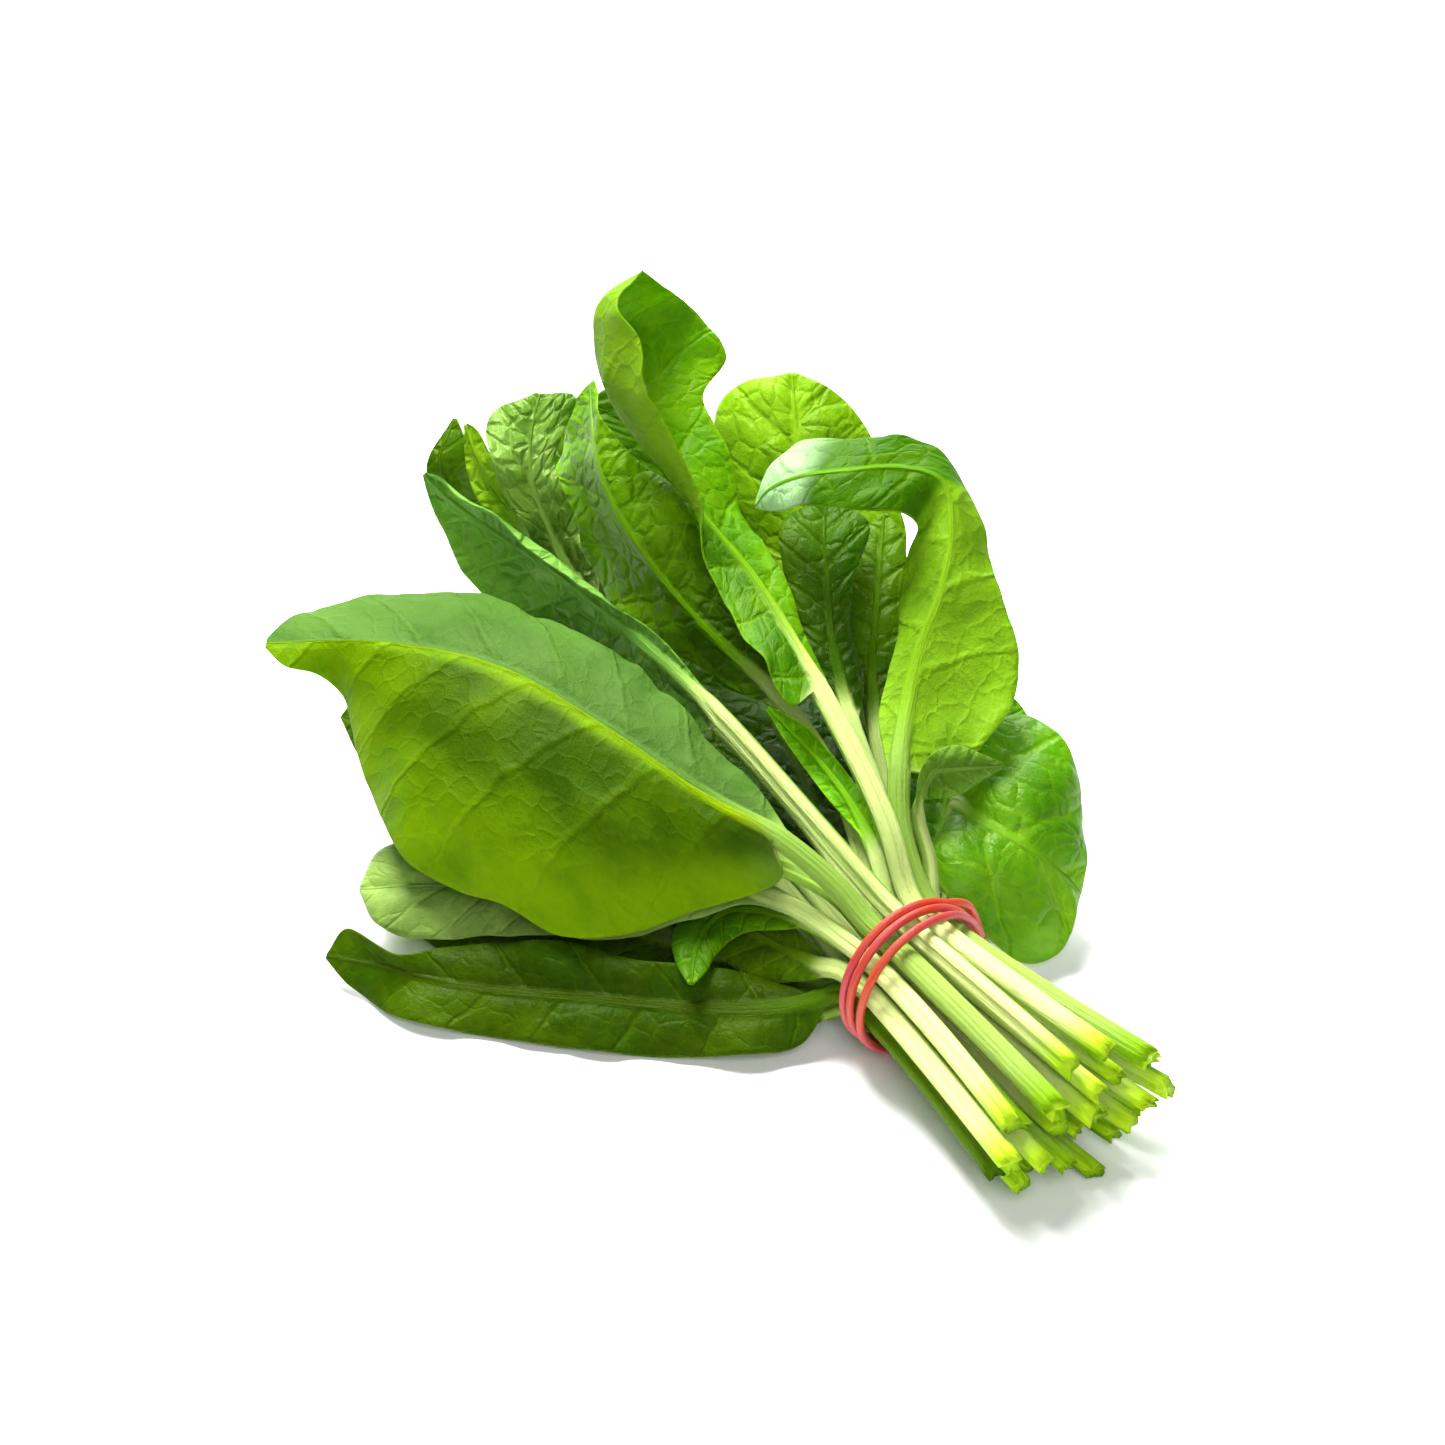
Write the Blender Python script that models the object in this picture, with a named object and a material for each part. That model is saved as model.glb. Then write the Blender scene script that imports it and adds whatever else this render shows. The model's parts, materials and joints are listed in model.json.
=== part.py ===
"""A bunch of fresh spinach lying on its side, held by a rubber band wound three times.

Sizes below are in millimetres and become metres when the meshes are made. +X points from the
leaves to the cut stem ends, +Z is up, and the origin is the small flat spot under the band
that the bunch rests on.
"""
import math

import bpy
import numpy as np

MM = 0.001

# Where the stems stand in the bundle: how many, how far from its centre, and the first angle
BUNDLE_HEIGHT = 20.5
RINGS = {
    "core": (3, 3.6, 90.0),
    "inner": (9, 9.4, 0.0),
    "outer": (14, 15.2, 14.3),
}

# The rubber band
BAND_THICKNESS = 2.4
BAND_TURNS = 3
BAND_STEPS = 40
BAND_SIDES = 6
BAND_RADIUS = 19.75
BAND_OUTSIDE = BAND_RADIUS + BAND_THICKNESS / 2 * math.cos(math.pi / BAND_SIDES)
BAND_HEIGHT = BAND_OUTSIDE * math.cos(math.pi / BAND_STEPS)
BAND_PITCH = 2.75
BAND_SPREAD = 5.2
BAND_LIFT = 2.9
BAND_SHIFT = 0.3

# Leaves
BLADE_THICKNESS = 0.8
BLADE_STEPS = 12
CURVE_STEPS = 40
# Columns across half a leaf: the share of the petiole's radius, then of the blade beside it
COLUMN_ROUND = np.array([0, 0.5, 0.85, 0.98, 1.0])
COLUMN_BLADE = np.array([0, 0, 1 / 3, 2 / 3, 1.0])


def leaf(name, place, petiole, mid, left, right, stem, bow, ruffle=(0, 2, 0), steps=BLADE_STEPS,
         tip=0.6):
    """One leaf as named values: the points along its middle and its two edges.

    left and right are as seen on its upper face with the tip away. bow bends the left and the
    right half, from base to tip. ruffle is the edge's wave: height, count and start.
    """
    return {
        "name": name, "place": place, "petiole": petiole, "mid": mid, "left": left,
        "right": right, "stem": stem, "bow": bow, "ruffle": ruffle, "steps": steps, "tip": tip,
    }


LEAVES = [
    # The large leaf that faces the viewer, rolled under along its lower edge
    leaf("front_large", ("outer", 4),
        petiole=[(-21, -8.5, 40)],
        mid=[(-38.5, -13, 46), (-60, -22, 52), (-89.5, -32, 60), (-119.5, -42.5, 65),
             (-148.5, -61, 64), (-170, -82.5, 60)],
        left=[(-61, -6, 49), (-95.5, -9.5, 56), (-122, -13.5, 61), (-151.5, -25.5, 62),
              (-166.5, -43.5, 60), (-174.5, -60.5, 61), (-174, -74, 61.5)],
        right=[(-35.5, -14.5, 36), (-49, -33, 25), (-59.5, -56.5, 21), (-88.5, -73.5, 25),
               (-109.5, -81.5, 29), (-136, -76.5, 38), (-151.5, -70.5, 48), (-157.5, -75, 54),
               (-161.5, -82, 57)],
        stem=3.1, bow=((-0.05, -0.1), (-0.1, -0.14), (0.0, -0.05)), ruffle=(1.5, 2.5, 0.2), steps=14, tip=1.6),
    # The long leaf along the floor at the left, with a crumpled end
    leaf("low_left", ("outer", 7),
        petiole=[],
        mid=[(-13, -17.5, 13.5), (-25, -35, 10), (-50, -60.5, 9), (-76.5, -85.5, 8), (-95, -97.5, 8),
             (-108.5, -105.5, 6)],
        left=[(-10.5, -27, 4.5), (-18, -41.5, 3), (-34, -59.5, 1.5), (-48, -74, 1.4), (-64, -87.5, 1.4),
              (-78, -99.5, 2), (-98, -104.5, 2)],
        right=[(-20.5, -19.5, 12), (-31.5, -27.5, 14), (-47.5, -46.5, 16), (-67, -61, 16),
               (-85, -82.5, 14), (-91.5, -93.5, 12), (-108.5, -99.5, 12)],
        stem=3, bow=((0.05, 0.05), (0.1, 0.1), (0.0, 0.0)), ruffle=(1.0, 3.5, 0.0)),
    # The leaf between it and the large one, its pale underside showing
    leaf("low_grey", ("outer", 5),
        petiole=[(-20, -13, 30)],
        mid=[(-34, -13.5, 28), (-50, -16.5, 24.5), (-63.5, -26, 22), (-79.5, -43, 20), (-94, -61, 18),
             (-106, -78, 18), (-117, -89.5, 15)],
        left=[(-44.5, -17.5, 23), (-51.5, -31.5, 20.5), (-63.5, -51, 15), (-82, -69, 14),
              (-92, -84, 12.5), (-105, -91.5, 12)],
        right=[(-53, -13, 26), (-69.5, -25, 25), (-87, -38, 24), (-104, -54.5, 22.5),
               (-116.5, -68, 21), (-124, -79, 18)],
        stem=2.6, bow=((0.1, 0.1), (0.12, 0.12)), ruffle=(0.8, 2.5, 0.3)),
    # A small dark leaf close to the band
    leaf("low_dark", ("outer", 6),
        petiole=[],
        mid=[(-14, -15.5, 21.5), (-29, -16, 17), (-45, -20, 16.5), (-57, -24, 16)],
        left=[(-20, -19, 15), (-31, -24, 10.5), (-44, -27, 10.5), (-53, -28, 12.5)],
        right=[(-22, -13, 20), (-39, -11, 18.5), (-52, -14, 18), (-58, -19, 17)],
        stem=2.8, bow=((0.1, 0.1), (0.1, 0.1)), ruffle=(0.5, 2.0, 0.3), steps=9),
    # A thin leaf that hangs over it
    leaf("low_drop", ("inner", 4),
        petiole=[(-20, -10, 25)],
        mid=[(-29, -11.5, 24.5), (-42, -16.5, 22.5), (-49, -23, 20), (-45.5, -32.5, 18.5),
             (-33.5, -44, 17)],
        left=[(-33, -17, 22), (-40, -23.5, 19.5), (-39.5, -31.5, 17.5), (-35.5, -38, 17)],
        right=[(-45, -10, 22.5), (-55.5, -18.5, 19), (-56, -28, 18), (-51.5, -37, 17.5),
               (-41.5, -42.5, 17)],
        stem=2.4, bow=((0.1, 0.1), (0.1, 0.1)), steps=9),
    # A leaf tip that shows under the long one
    leaf("floor_tip", ("outer", 8),
        petiole=[],
        mid=[(-15, -15.5, 6.5), (-22, -23, 4), (-28, -33, 2.5), (-33, -45, 1)],
        left=[(-16, -25, 3), (-21, -35, 2), (-27, -42, 1)],
        right=[(-26, -22, 4.5), (-33, -32, 3), (-37, -40, 1.5)],
        stem=2.4, bow=((0.1, 0.1), (0.1, 0.1)), steps=7),
    # The leaf behind the large one
    leaf("under_front", ("inner", 3),
        petiole=[(-25, -6, 34)],
        mid=[(-44.5, -11.5, 34), (-75.5, -26.5, 35), (-109.5, -44, 35), (-139, -56, 34),
             (-164.5, -64.5, 32)],
        left=[(-48.5, -21, 30.5), (-72, -38.5, 29), (-99, -57.5, 28.5), (-130, -68.5, 30),
              (-147.5, -69, 30)],
        right=[(-69.5, -15, 40), (-100, -25, 42), (-128.5, -37.5, 42), (-153.5, -49.5, 40),
               (-165, -57, 37)],
        stem=2.6, bow=((0.1, 0.1), (0.12, 0.12)), ruffle=(1.0, 2.0, 0.3)),
    # The long rolled leaf above the large one
    leaf("rolled_long", ("outer", 3),
        petiole=[(-33, -1, 43)],
        mid=[(-82, 0.5, 52), (-112, -1, 57), (-143, -4.5, 63), (-167, -14, 71), (-180, -20, 77),
             (-186.5, -22, 81)],
        left=[(-92, -2.5, 42), (-122, -10, 42), (-147.5, -15, 46), (-162, -19, 53), (-174.5, -21, 63),
              (-183, -22.5, 74)],
        right=[(-94, 2.5, 55), (-114.5, 1.5, 61), (-127, -5, 65), (-144, -10, 71), (-159, -17, 77),
               (-179.5, -20, 82)],
        stem=3, bow=((-0.1, -0.1), (-0.12, -0.25), (-0.1, -0.2)), ruffle=(1.0, 3.0, 0.2)),
    # Its neighbour, whose tip curls up
    leaf("rolled_tip", ("inner", 5),
        petiole=[(-55, -5, 24)],
        mid=[(-100, -6, 33), (-135, -5, 43), (-162, -5, 54), (-185, -10, 67), (-191, -14, 79),
             (-197, -5, 87)],
        left=[(-118, -12, 31), (-145, -12, 38), (-165, -9, 47), (-188, -14, 64), (-193, -17, 78)],
        right=[(-125, 0, 39), (-152, -1, 50), (-172, -3, 66), (-184, -9, 79), (-189, -7, 85)],
        stem=2.5, bow=((-0.1, -0.1), (-0.1, -0.1), (-0.1, -0.1)), steps=10),
    # A narrow folded leaf with a yellow edge
    leaf("yellow_fold", ("core", 1),
        petiole=[(-60, -2, 30)],
        mid=[(-102, -1, 41), (-132, -2, 50), (-152, -4, 59), (-165, -4, 69), (-174, -7, 77),
             (-182, -8, 84), (-190, -6, 89)],
        left=[(-116, -5, 42), (-145, -6, 52), (-163, -4, 62), (-174, -11, 72), (-184, -10, 80)],
        right=[(-118, 2, 47), (-145, 2, 57), (-160, 0, 70), (-167, -6, 76), (-178, -6, 85),
               (-186, -5, 89)],
        stem=2.5, bow=((-0.1, -0.1), (-0.1, -0.1)), steps=11),
    # The crinkled pale leaf at the upper left
    leaf("crinkled", ("core", 2),
        petiole=[(-60, 10, 30), (-119, 1, 54)],
        mid=[(-138.5, -1, 57.5), (-150.5, -2, 65), (-158, -2.5, 74), (-164.5, -2, 83),
             (-171, 2.5, 90.5), (-179, 11, 98)],
        left=[(-142, -4, 58), (-153, -5.5, 65), (-159.5, -9, 75), (-166.5, -10.5, 84),
              (-173.5, -9.5, 90.5), (-182.5, -3, 94)],
        right=[(-140.5, 2.5, 62), (-147.5, 2.5, 68.5), (-153.5, 4.5, 75), (-159, 4, 81), (-164, 5, 87),
               (-170.5, 13.5, 91.5), (-174.5, 19.5, 96.5)],
        stem=2.5, bow=((0.1, 0.1), (0.1, 0.1)), ruffle=(1.0, 4.0, 0.1), steps=13, tip=1.2),
    # The deep folded leaf right of it
    leaf("brown_fold", ("core", 0),
        petiole=[(-55, 19, 37)],
        mid=[(-84, 22, 47), (-109, 17, 56), (-127, 14, 65), (-138, 12, 73), (-148, 12, 80),
             (-159, 15, 88), (-179.5, 27.5, 95)],
        left=[(-110.5, 15.5, 44), (-127, 11.5, 45), (-144.5, 9.5, 49), (-156.5, 8.5, 55),
              (-166.5, 10, 63), (-177, 13.5, 70), (-181.5, 18, 78), (-182.5, 22, 86.5)],
        right=[(-97, 27, 57), (-121, 28, 68), (-132, 28, 75), (-143, 27, 83), (-150, 22, 88),
               (-162, 21, 93)],
        stem=2.6, bow=((-0.1, -0.1), (-0.1, 0.15), (-0.05, 0.1)), ruffle=(2.2, 3.0, 0.4), steps=14, tip=1.6),
    # The tallest leaf, twisted, with its keel on the left
    leaf("tall_centre", ("outer", 2),
        petiole=[(-26.5, 11, 49)],
        mid=[(-67, 21.5, 60), (-84.5, 24.5, 66), (-104.5, 27, 73), (-119, 26, 80), (-134.5, 22, 89),
             (-154.5, 18, 102), (-167.5, 20.5, 114), (-173, 27.5, 124), (-171, 39.5, 130)],
        left=[(-66, 11.5, 61), (-81, 11.5, 68), (-103, 16, 73), (-114, 18, 79), (-122, 22.5, 88),
              (-132, 24, 101), (-142, 21, 114), (-150, 23, 123), (-158.5, 23.5, 129)],
        right=[(-79, 28.5, 62), (-103.5, 35.5, 71), (-122.5, 38.5, 77), (-136.5, 43, 87),
               (-153, 46, 97), (-158.5, 57, 103), (-166.5, 55, 113), (-170.5, 47, 122)],
        stem=3.1, bow=((0.1, 0.1), (-0.08, -0.1), (-0.1, -0.1)), ruffle=(1.0, 3.0, 0.1), steps=15),
    # The round light leaf behind
    leaf("back_light", ("inner", 8),
        petiole=[(-62, 41, 29)],
        mid=[(-96, 50, 47), (-115, 57, 61), (-129, 62, 74), (-139, 67, 83), (-153, 76, 94)],
        left=[(-117, 46, 48), (-137, 49, 62), (-153, 52, 75), (-161, 57, 84), (-160, 64, 91)],
        right=[(-94, 65, 50), (-108, 81, 60), (-122, 86, 72), (-134, 87, 82), (-143, 84, 89)],
        stem=2.6, bow=((0.1, 0.1), (0.15, 0.1)), ruffle=(1.0, 2.0, 0.1), tip=1.2),
    # The tall leaf at the right, its end folded over toward the viewer
    leaf("right_tall", ("outer", 1),
        petiole=[(-25.5, 16, 41)],
        mid=[(-38, 24.5, 51), (-54.5, 40.5, 60), (-61.5, 49.5, 68), (-66.5, 59.5, 77), (-75, 69.5, 87),
             (-85.5, 74, 96), (-92.5, 66, 99), (-97.5, 53.5, 100), (-106.5, 44, 97), (-116, 40.5, 89),
             (-121.5, 40.5, 81)],
        left=[(-33, 36.5, 47), (-35.5, 51.5, 51), (-40, 62.5, 55), (-48, 71.5, 62), (-65.5, 76, 74),
              (-73.5, 80.5, 82), (-84, 82, 91), (-96, 81.5, 97), (-106.5, 63.5, 101), (-116, 50.5, 99),
              (-122, 45.5, 92)],
        right=[(-55.5, 32, 55), (-68.5, 47, 65), (-78, 55, 73), (-85, 66.5, 83), (-82.5, 60, 91),
               (-87.5, 49, 95), (-100, 40.5, 93), (-110, 40, 86)],
        stem=3.1, bow=((0.1, 0.1), (-0.06, -0.06), (-0.03, -0.03)), ruffle=(0.6, 2.5, 0.1), steps=17),
    # A dark leaf in the shade under that fold
    leaf("centre_dark", ("inner", 1),
        petiole=[(-43.5, 24, 36)],
        mid=[(-66, 30.5, 48), (-82.5, 37.5, 58), (-96.5, 46, 66), (-107.5, 53, 73),
             (-116.5, 60.5, 78)],
        left=[(-77, 31, 51), (-91.5, 33, 58), (-105.5, 38.5, 67), (-119, 48, 75)],
        right=[(-74, 40.5, 52), (-86, 45.5, 59), (-95, 53, 67), (-105, 65.5, 75)],
        stem=2.4, bow=((0.1, 0.1), (0.1, 0.1)), steps=9),
    # A narrow leaf beside it
    leaf("centre_mid", ("inner", 0),
        petiole=[(-51, 32, 32)],
        mid=[(-63.5, 37.5, 40), (-79.5, 48, 49), (-90.5, 57.5, 58), (-103, 68.5, 66),
             (-110.5, 75.5, 71)],
        left=[(-75.5, 42, 44), (-90, 49.5, 52), (-102, 58.5, 61), (-111, 69, 68)],
        right=[(-72.5, 48.5, 46), (-83, 61.5, 54), (-95, 71.5, 63), (-103.5, 75.5, 69)],
        stem=2.4, bow=((0.1, 0.1), (0.1, 0.1)), steps=9),
    # A small curled leaf near the band
    leaf("right_small", ("outer", 0),
        petiole=[(-21, 21.5, 35)],
        mid=[(-28.5, 23.5, 43), (-29, 25.5, 50), (-27, 27.5, 56), (-22, 31.5, 58), (-19.5, 37.5, 57.5),
             (-18, 42, 57)],
        left=[(-29.5, 24, 54), (-29, 27.5, 60), (-26.5, 33, 62), (-21.5, 38, 60)],
        right=[(-30, 26, 46), (-26, 28, 48), (-22.5, 31, 50), (-19.5, 36, 54)],
        stem=2.4, bow=((0.1, 0.1), (0.1, 0.1)), steps=7),
    # The round glossy leaf at the right, bent down to the floor
    leaf("right_round", ("outer", 13),
        petiole=[(-20, 27, 14), (-31, 39, 19)],
        mid=[(-38.5, 44, 31), (-26.5, 44, 33), (-16.5, 47.5, 31), (-10.5, 54, 24), (-7, 61, 14)],
        left=[(-41.5, 51.5, 40), (-45.5, 59, 44), (-46, 70.5, 45), (-36, 74.5, 42), (-24.5, 73.5, 34),
              (-13.5, 68, 25)],
        right=[(-32, 33.5, 31), (-26, 25, 28), (-15, 25, 22), (-7, 31, 13), (-1.5, 38.5, 5),
               (-0.5, 47, 4), (-0.5, 53, 11)],
        stem=2.9, bow=((0.1, 0.1), (0.1, 0.1)), ruffle=(0.8, 2.5, 0.1), tip=0.8),
    # A short narrow leaf on top of the petioles
    leaf("narrow_green", ("inner", 2),
        petiole=[],
        mid=[(-25, 8, 38), (-43, 13.5, 42), (-60.5, 15, 46), (-78.5, 13, 52)],
        left=[(-31.5, 9, 39), (-49.5, 11, 41), (-66.5, 12, 46)],
        right=[(-33, 15, 42), (-51, 18, 45), (-67, 16.5, 51)],
        stem=2.4, bow=((-0.1, -0.1), (-0.1, -0.1)), ruffle=(0.6, 3.0, 0.1), steps=8),
    # Leaves under the bunch and behind it
    leaf("floor_front", ("outer", 9),
        petiole=[],
        mid=[(-22, -7, 5.5), (-55, -26, 4.5), (-90, -48, 6), (-125, -66, 5)],
        left=[(-45, -38, 2), (-80, -68, 1.5), (-112, -78, 1.5)],
        right=[(-50, -10, 3.5), (-90, -24, 4), (-122, -44, 4)],
        stem=2.5, bow=((0.1, 0.1), (0.1, 0.1)), steps=9),
    leaf("floor_mid", ("outer", 10),
        petiole=[],
        mid=[(-25, 0, 6.5), (-65, -2, 9.5), (-110, -8, 12), (-160, -18, 11)],
        left=[(-48, -15, 8), (-88, -34, 9), (-135, -42, 9.5)],
        right=[(-48, 14, 8), (-92, 24, 9.5), (-140, 18, 10)],
        stem=2.5, bow=((0.1, 0.1), (0.1, 0.1)), steps=9),
    leaf("floor_back", ("outer", 11),
        petiole=[],
        mid=[(-25, 11, 6), (-65, 32, 5), (-110, 56, 6), (-148, 76, 5)],
        left=[(-55, 12, 4), (-98, 24, 5), (-140, 48, 5)],
        right=[(-38, 44, 1.5), (-76, 74, 1), (-118, 90, 1)],
        stem=2.5, bow=((0.1, 0.1), (0.1, 0.1)), steps=9),
    leaf("back_right", ("outer", 12),
        petiole=[],
        mid=[(-22, 20, 12), (-45, 45, 13), (-70, 68, 19), (-93, 88, 28)],
        left=[(-45, 26, 12), (-82, 46, 18), (-104, 68, 27)],
        right=[(-28, 48, 8), (-44, 78, 11), (-70, 94, 21)],
        stem=2.5, bow=((0.1, 0.1), (0.1, 0.1)), steps=9, tip=1.2),
    leaf("under_left", ("inner", 6),
        petiole=[],
        mid=[(-30, -6, 13), (-80, -13, 18), (-130, -20, 23), (-168, -26, 28)],
        left=[(-60, -17, 13), (-112, -40, 16), (-152, -46, 23)],
        right=[(-62, 4, 16), (-112, 15, 22), (-155, 5, 28)],
        stem=2.4, bow=((0.1, 0.1), (0.1, 0.1)), steps=9),
    leaf("under_back", ("inner", 7),
        petiole=[],
        mid=[(-30, 8, 14), (-80, 25, 24), (-124, 38, 37.5), (-148, 41.5, 54), (-168, 42, 69.5),
             (-188.5, 39.5, 85)],
        left=[(-66, 9, 20), (-106, 8.5, 26.5), (-136, 14.5, 31), (-159.5, 14.5, 45.5),
              (-178.5, 17, 62), (-191, 22.5, 73.5)],
        right=[(-58, 37, 19), (-117, 53.5, 30), (-141, 55.5, 47.5), (-158, 56, 63), (-176, 52, 78)],
        stem=2.4, bow=((0.1, 0.1), (0.1, 0.1)), steps=12, tip=2.2),
]


def clear_scene():
    """Removes the objects that a new file starts with."""
    for obj in list(bpy.data.objects):
        bpy.data.objects.remove(obj)


def new_collection(name):
    """An empty collection in the scene."""
    collection = bpy.data.collections.new(name)
    bpy.context.scene.collection.children.link(collection)
    return collection


def new_material(name, colour, roughness):
    """A Principled material of one colour."""
    material = bpy.data.materials.new(name)
    material.use_nodes = True
    shader = material.node_tree.nodes["Principled BSDF"]
    shader.inputs["Base Color"].default_value = (*colour, 1.0)
    shader.inputs["Roughness"].default_value = roughness
    return material


def new_part(name, points, faces, material, collection):
    """A mesh object from points in millimetres."""
    mesh = bpy.data.meshes.new(name)
    mesh.from_pydata((np.asarray(points) * MM).tolist(), [], [list(map(int, f)) for f in faces])
    mesh.materials.append(material)
    mesh.validate()
    obj = bpy.data.objects.new(name, mesh)
    collection.objects.link(obj)
    return obj


def unit(vectors):
    """The same directions, one long."""
    return vectors / np.maximum(np.linalg.norm(vectors, axis=-1, keepdims=True), 1e-9)


def smooth(share):
    """0 to 1, with a soft start and end."""
    share = np.clip(share, 0, 1)
    return share * share * (3 - 2 * share)


def smooth_curve(points):
    """A smooth curve through the points: its samples, its length at each, and at each point."""
    given = np.array(points, float)
    knots = np.concatenate([[0], np.cumsum(np.linalg.norm(np.diff(given, axis=0), axis=1) ** 0.5)])
    slopes = np.gradient(given, knots, axis=0)
    share = np.linspace(0, 1, CURVE_STEPS + 1)[1:, None]
    samples = [given[:1]]
    for i in range(len(given) - 1):
        span = knots[i + 1] - knots[i]
        samples.append(
            (2 * share**3 - 3 * share**2 + 1) * given[i]
            + (share**3 - 2 * share**2 + share) * span * slopes[i]
            + (3 * share**2 - 2 * share**3) * given[i + 1]
            + (share**3 - share**2) * span * slopes[i + 1]
        )
    samples = np.concatenate(samples)
    lengths = np.concatenate([[0], np.cumsum(np.linalg.norm(np.diff(samples, axis=0), axis=1))])
    return samples, lengths, lengths[::CURVE_STEPS]


def curve_at(samples, lengths, where):
    """The curve's points at the given lengths."""
    return np.stack([np.interp(where, lengths, samples[:, k]) for k in range(3)], axis=-1)


def bundle_points(place, count):
    """The four points that lead a stem from its cut end through the band."""
    ring, number = place
    total, radius, start = RINGS[ring]
    angle = math.radians(start + 360 / total * number)
    y = radius * math.cos(angle)
    z = radius * math.sin(angle)
    return [
        (63 + 5 * math.sin(2.4 * count + 1), 1.75 * y + 3, 16.5 + 0.9 * z),
        (28, 1.25 * y + 0.8, BUNDLE_HEIGHT - 1.2 + 0.97 * z),
        (2, y, BUNDLE_HEIGHT + z),
        (-9, 1.03 * y, BUNDLE_HEIGHT + 0.4 + 1.03 * z),
    ]


def leaf_frame(spec, count):
    """Stations along the leaf: middle points, directions, stem radius and the blade's share."""
    petiole = bundle_points(spec["place"], count) + spec["petiole"]
    samples, lengths, marks = smooth_curve(petiole + spec["mid"])
    base = marks[len(petiole)]
    total = lengths[-1]
    even = np.linspace(0, 1, spec["steps"] + 1)
    even = even + 0.08 * np.sin(np.pi * even) * (even - 0.2)
    where = np.concatenate([marks[:len(petiole)], base + (total - base) * even])
    reach = 0.8
    ahead = curve_at(samples, lengths, np.minimum(where + reach, total))
    behind = curve_at(samples, lengths, np.maximum(where - reach, 0))
    knee = base + (total - base) * 0.35
    radius = spec["stem"] * np.interp(where, [0, base, knee, total], [1.0, 0.9, 0.42, 0.1])
    return {
        "mid": curve_at(samples, lengths, where), "along": unit(ahead - behind),
        "radius": radius, "share": np.clip((where - base) / (total - base), 0, 1),
        "first": len(petiole),
    }


def across(spec, end, along):
    """The direction from the left edge to the right one, square to the middle line."""
    wide = np.array(spec["right"][end], float) - np.array(spec["left"][end], float)
    return unit(wide - (wide @ along) * along)


def leaf_edges(spec, frame):
    """The left and right edge at each station, and the direction across the petiole."""
    mid, along, radius, first = frame["mid"], frame["along"], frame["radius"], frame["first"]
    base_side = across(spec, 0, along[first])
    tip_side = across(spec, -1, along[-1])
    sides = np.zeros_like(mid)
    side = base_side
    for i in range(first, -1, -1):
        side = unit(side - (side @ along[i]) * along[i])
        sides[i] = side
    edges = {}
    for sign, key in ((-1, "left"), (1, "right")):
        start = mid[first] + sign * 0.9 * spec["stem"] * base_side
        end = mid[-1] + sign * spec["tip"] * tip_side
        samples, lengths, _ = smooth_curve([start, *spec[key], end])
        edge = curve_at(samples, lengths, frame["share"] * lengths[-1])
        edge[:first] = (mid + sign * radius[:, None] * sides)[:first]
        edges[sign] = edge
    return edges, sides


def half_blade(spec, frame, edge, sign):
    """One half: how far out each column is, which way, and how far it is lifted."""
    share, radius = frame["share"], frame["radius"]
    chord = edge - frame["mid"]
    width = np.maximum(np.linalg.norm(chord, axis=1), radius)
    out = unit(chord)
    up = unit(np.cross(frame["along"], out)) * -sign
    outward = radius[:, None] * COLUMN_ROUND + (width - radius)[:, None] * COLUMN_BLADE
    part = np.clip(outward / width[:, None], 0, 1)
    bows = [pair[0 if sign < 0 else 1] for pair in spec["bow"]]
    bow = np.interp(share, np.linspace(0, 1, len(bows)), bows) * width * smooth(share / 0.15)
    height, waves, start = spec["ruffle"]
    fade = np.clip(share / 0.15, 0, 1) * np.clip((1 - share) / 0.12, 0, 1)
    turn = 2 * np.pi * (waves * share + start + 0.31 * sign)
    wave = height * fade * np.sin(turn)
    lift = bow[:, None] * 4 * part * (1 - part) + wave[:, None] * part**2
    return {"out": out, "up": up, "outward": outward, "width": width, "lift": lift}


def leaf_sheet(spec, count):
    """The leaf's middle surface: its points, normals, distance from the middle and frame."""
    frame = leaf_frame(spec, count)
    edges, sides = leaf_edges(spec, frame)
    halves = {sign: half_blade(spec, frame, edges[sign], sign) for sign in (-1, 1)}
    narrow = np.minimum(halves[-1]["width"], halves[1]["width"])
    soft = np.minimum(2.2 * frame["radius"] + 1.2, 0.8 * narrow)[:, None]
    both = halves[-1]["out"] + halves[1]["out"]
    sheets = {}
    for sign, half in halves.items():
        share = np.clip(half["outward"] / soft, 0, 1)
        inward = ((1 - share) ** 2 * soft / 4)[..., None] * both[:, None]
        outward = half["out"][:, None] * half["outward"][..., None]
        lift = half["up"][:, None] * (half["lift"] * share)[..., None]
        sheets[sign] = frame["mid"][:, None] + outward + inward + lift
    points = np.concatenate([sheets[-1][:, ::-1], sheets[1][:, 1:]], axis=1)
    distance = np.concatenate([halves[-1]["outward"][:, ::-1], halves[1]["outward"][:, 1:]], axis=1)
    return points, sheet_normals(points, frame, sides), distance, frame


def sheet_normals(points, frame, sides):
    """The sheet's normals, evened out along the leaf, and square to the stem in the petiole."""
    normals = unit(np.cross(np.gradient(points, axis=1), np.gradient(points, axis=0)))
    normals[1:-1] = unit(normals[:-2] + 2 * normals[1:-1] + normals[2:])
    normals[-2] = unit(normals[-3] + 0.3 * normals[-2])
    normals[-1] = normals[-2]
    first = frame["first"] + 1
    normals[:first] = unit(np.cross(sides, frame["along"]))[:first, None]
    return normals


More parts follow.
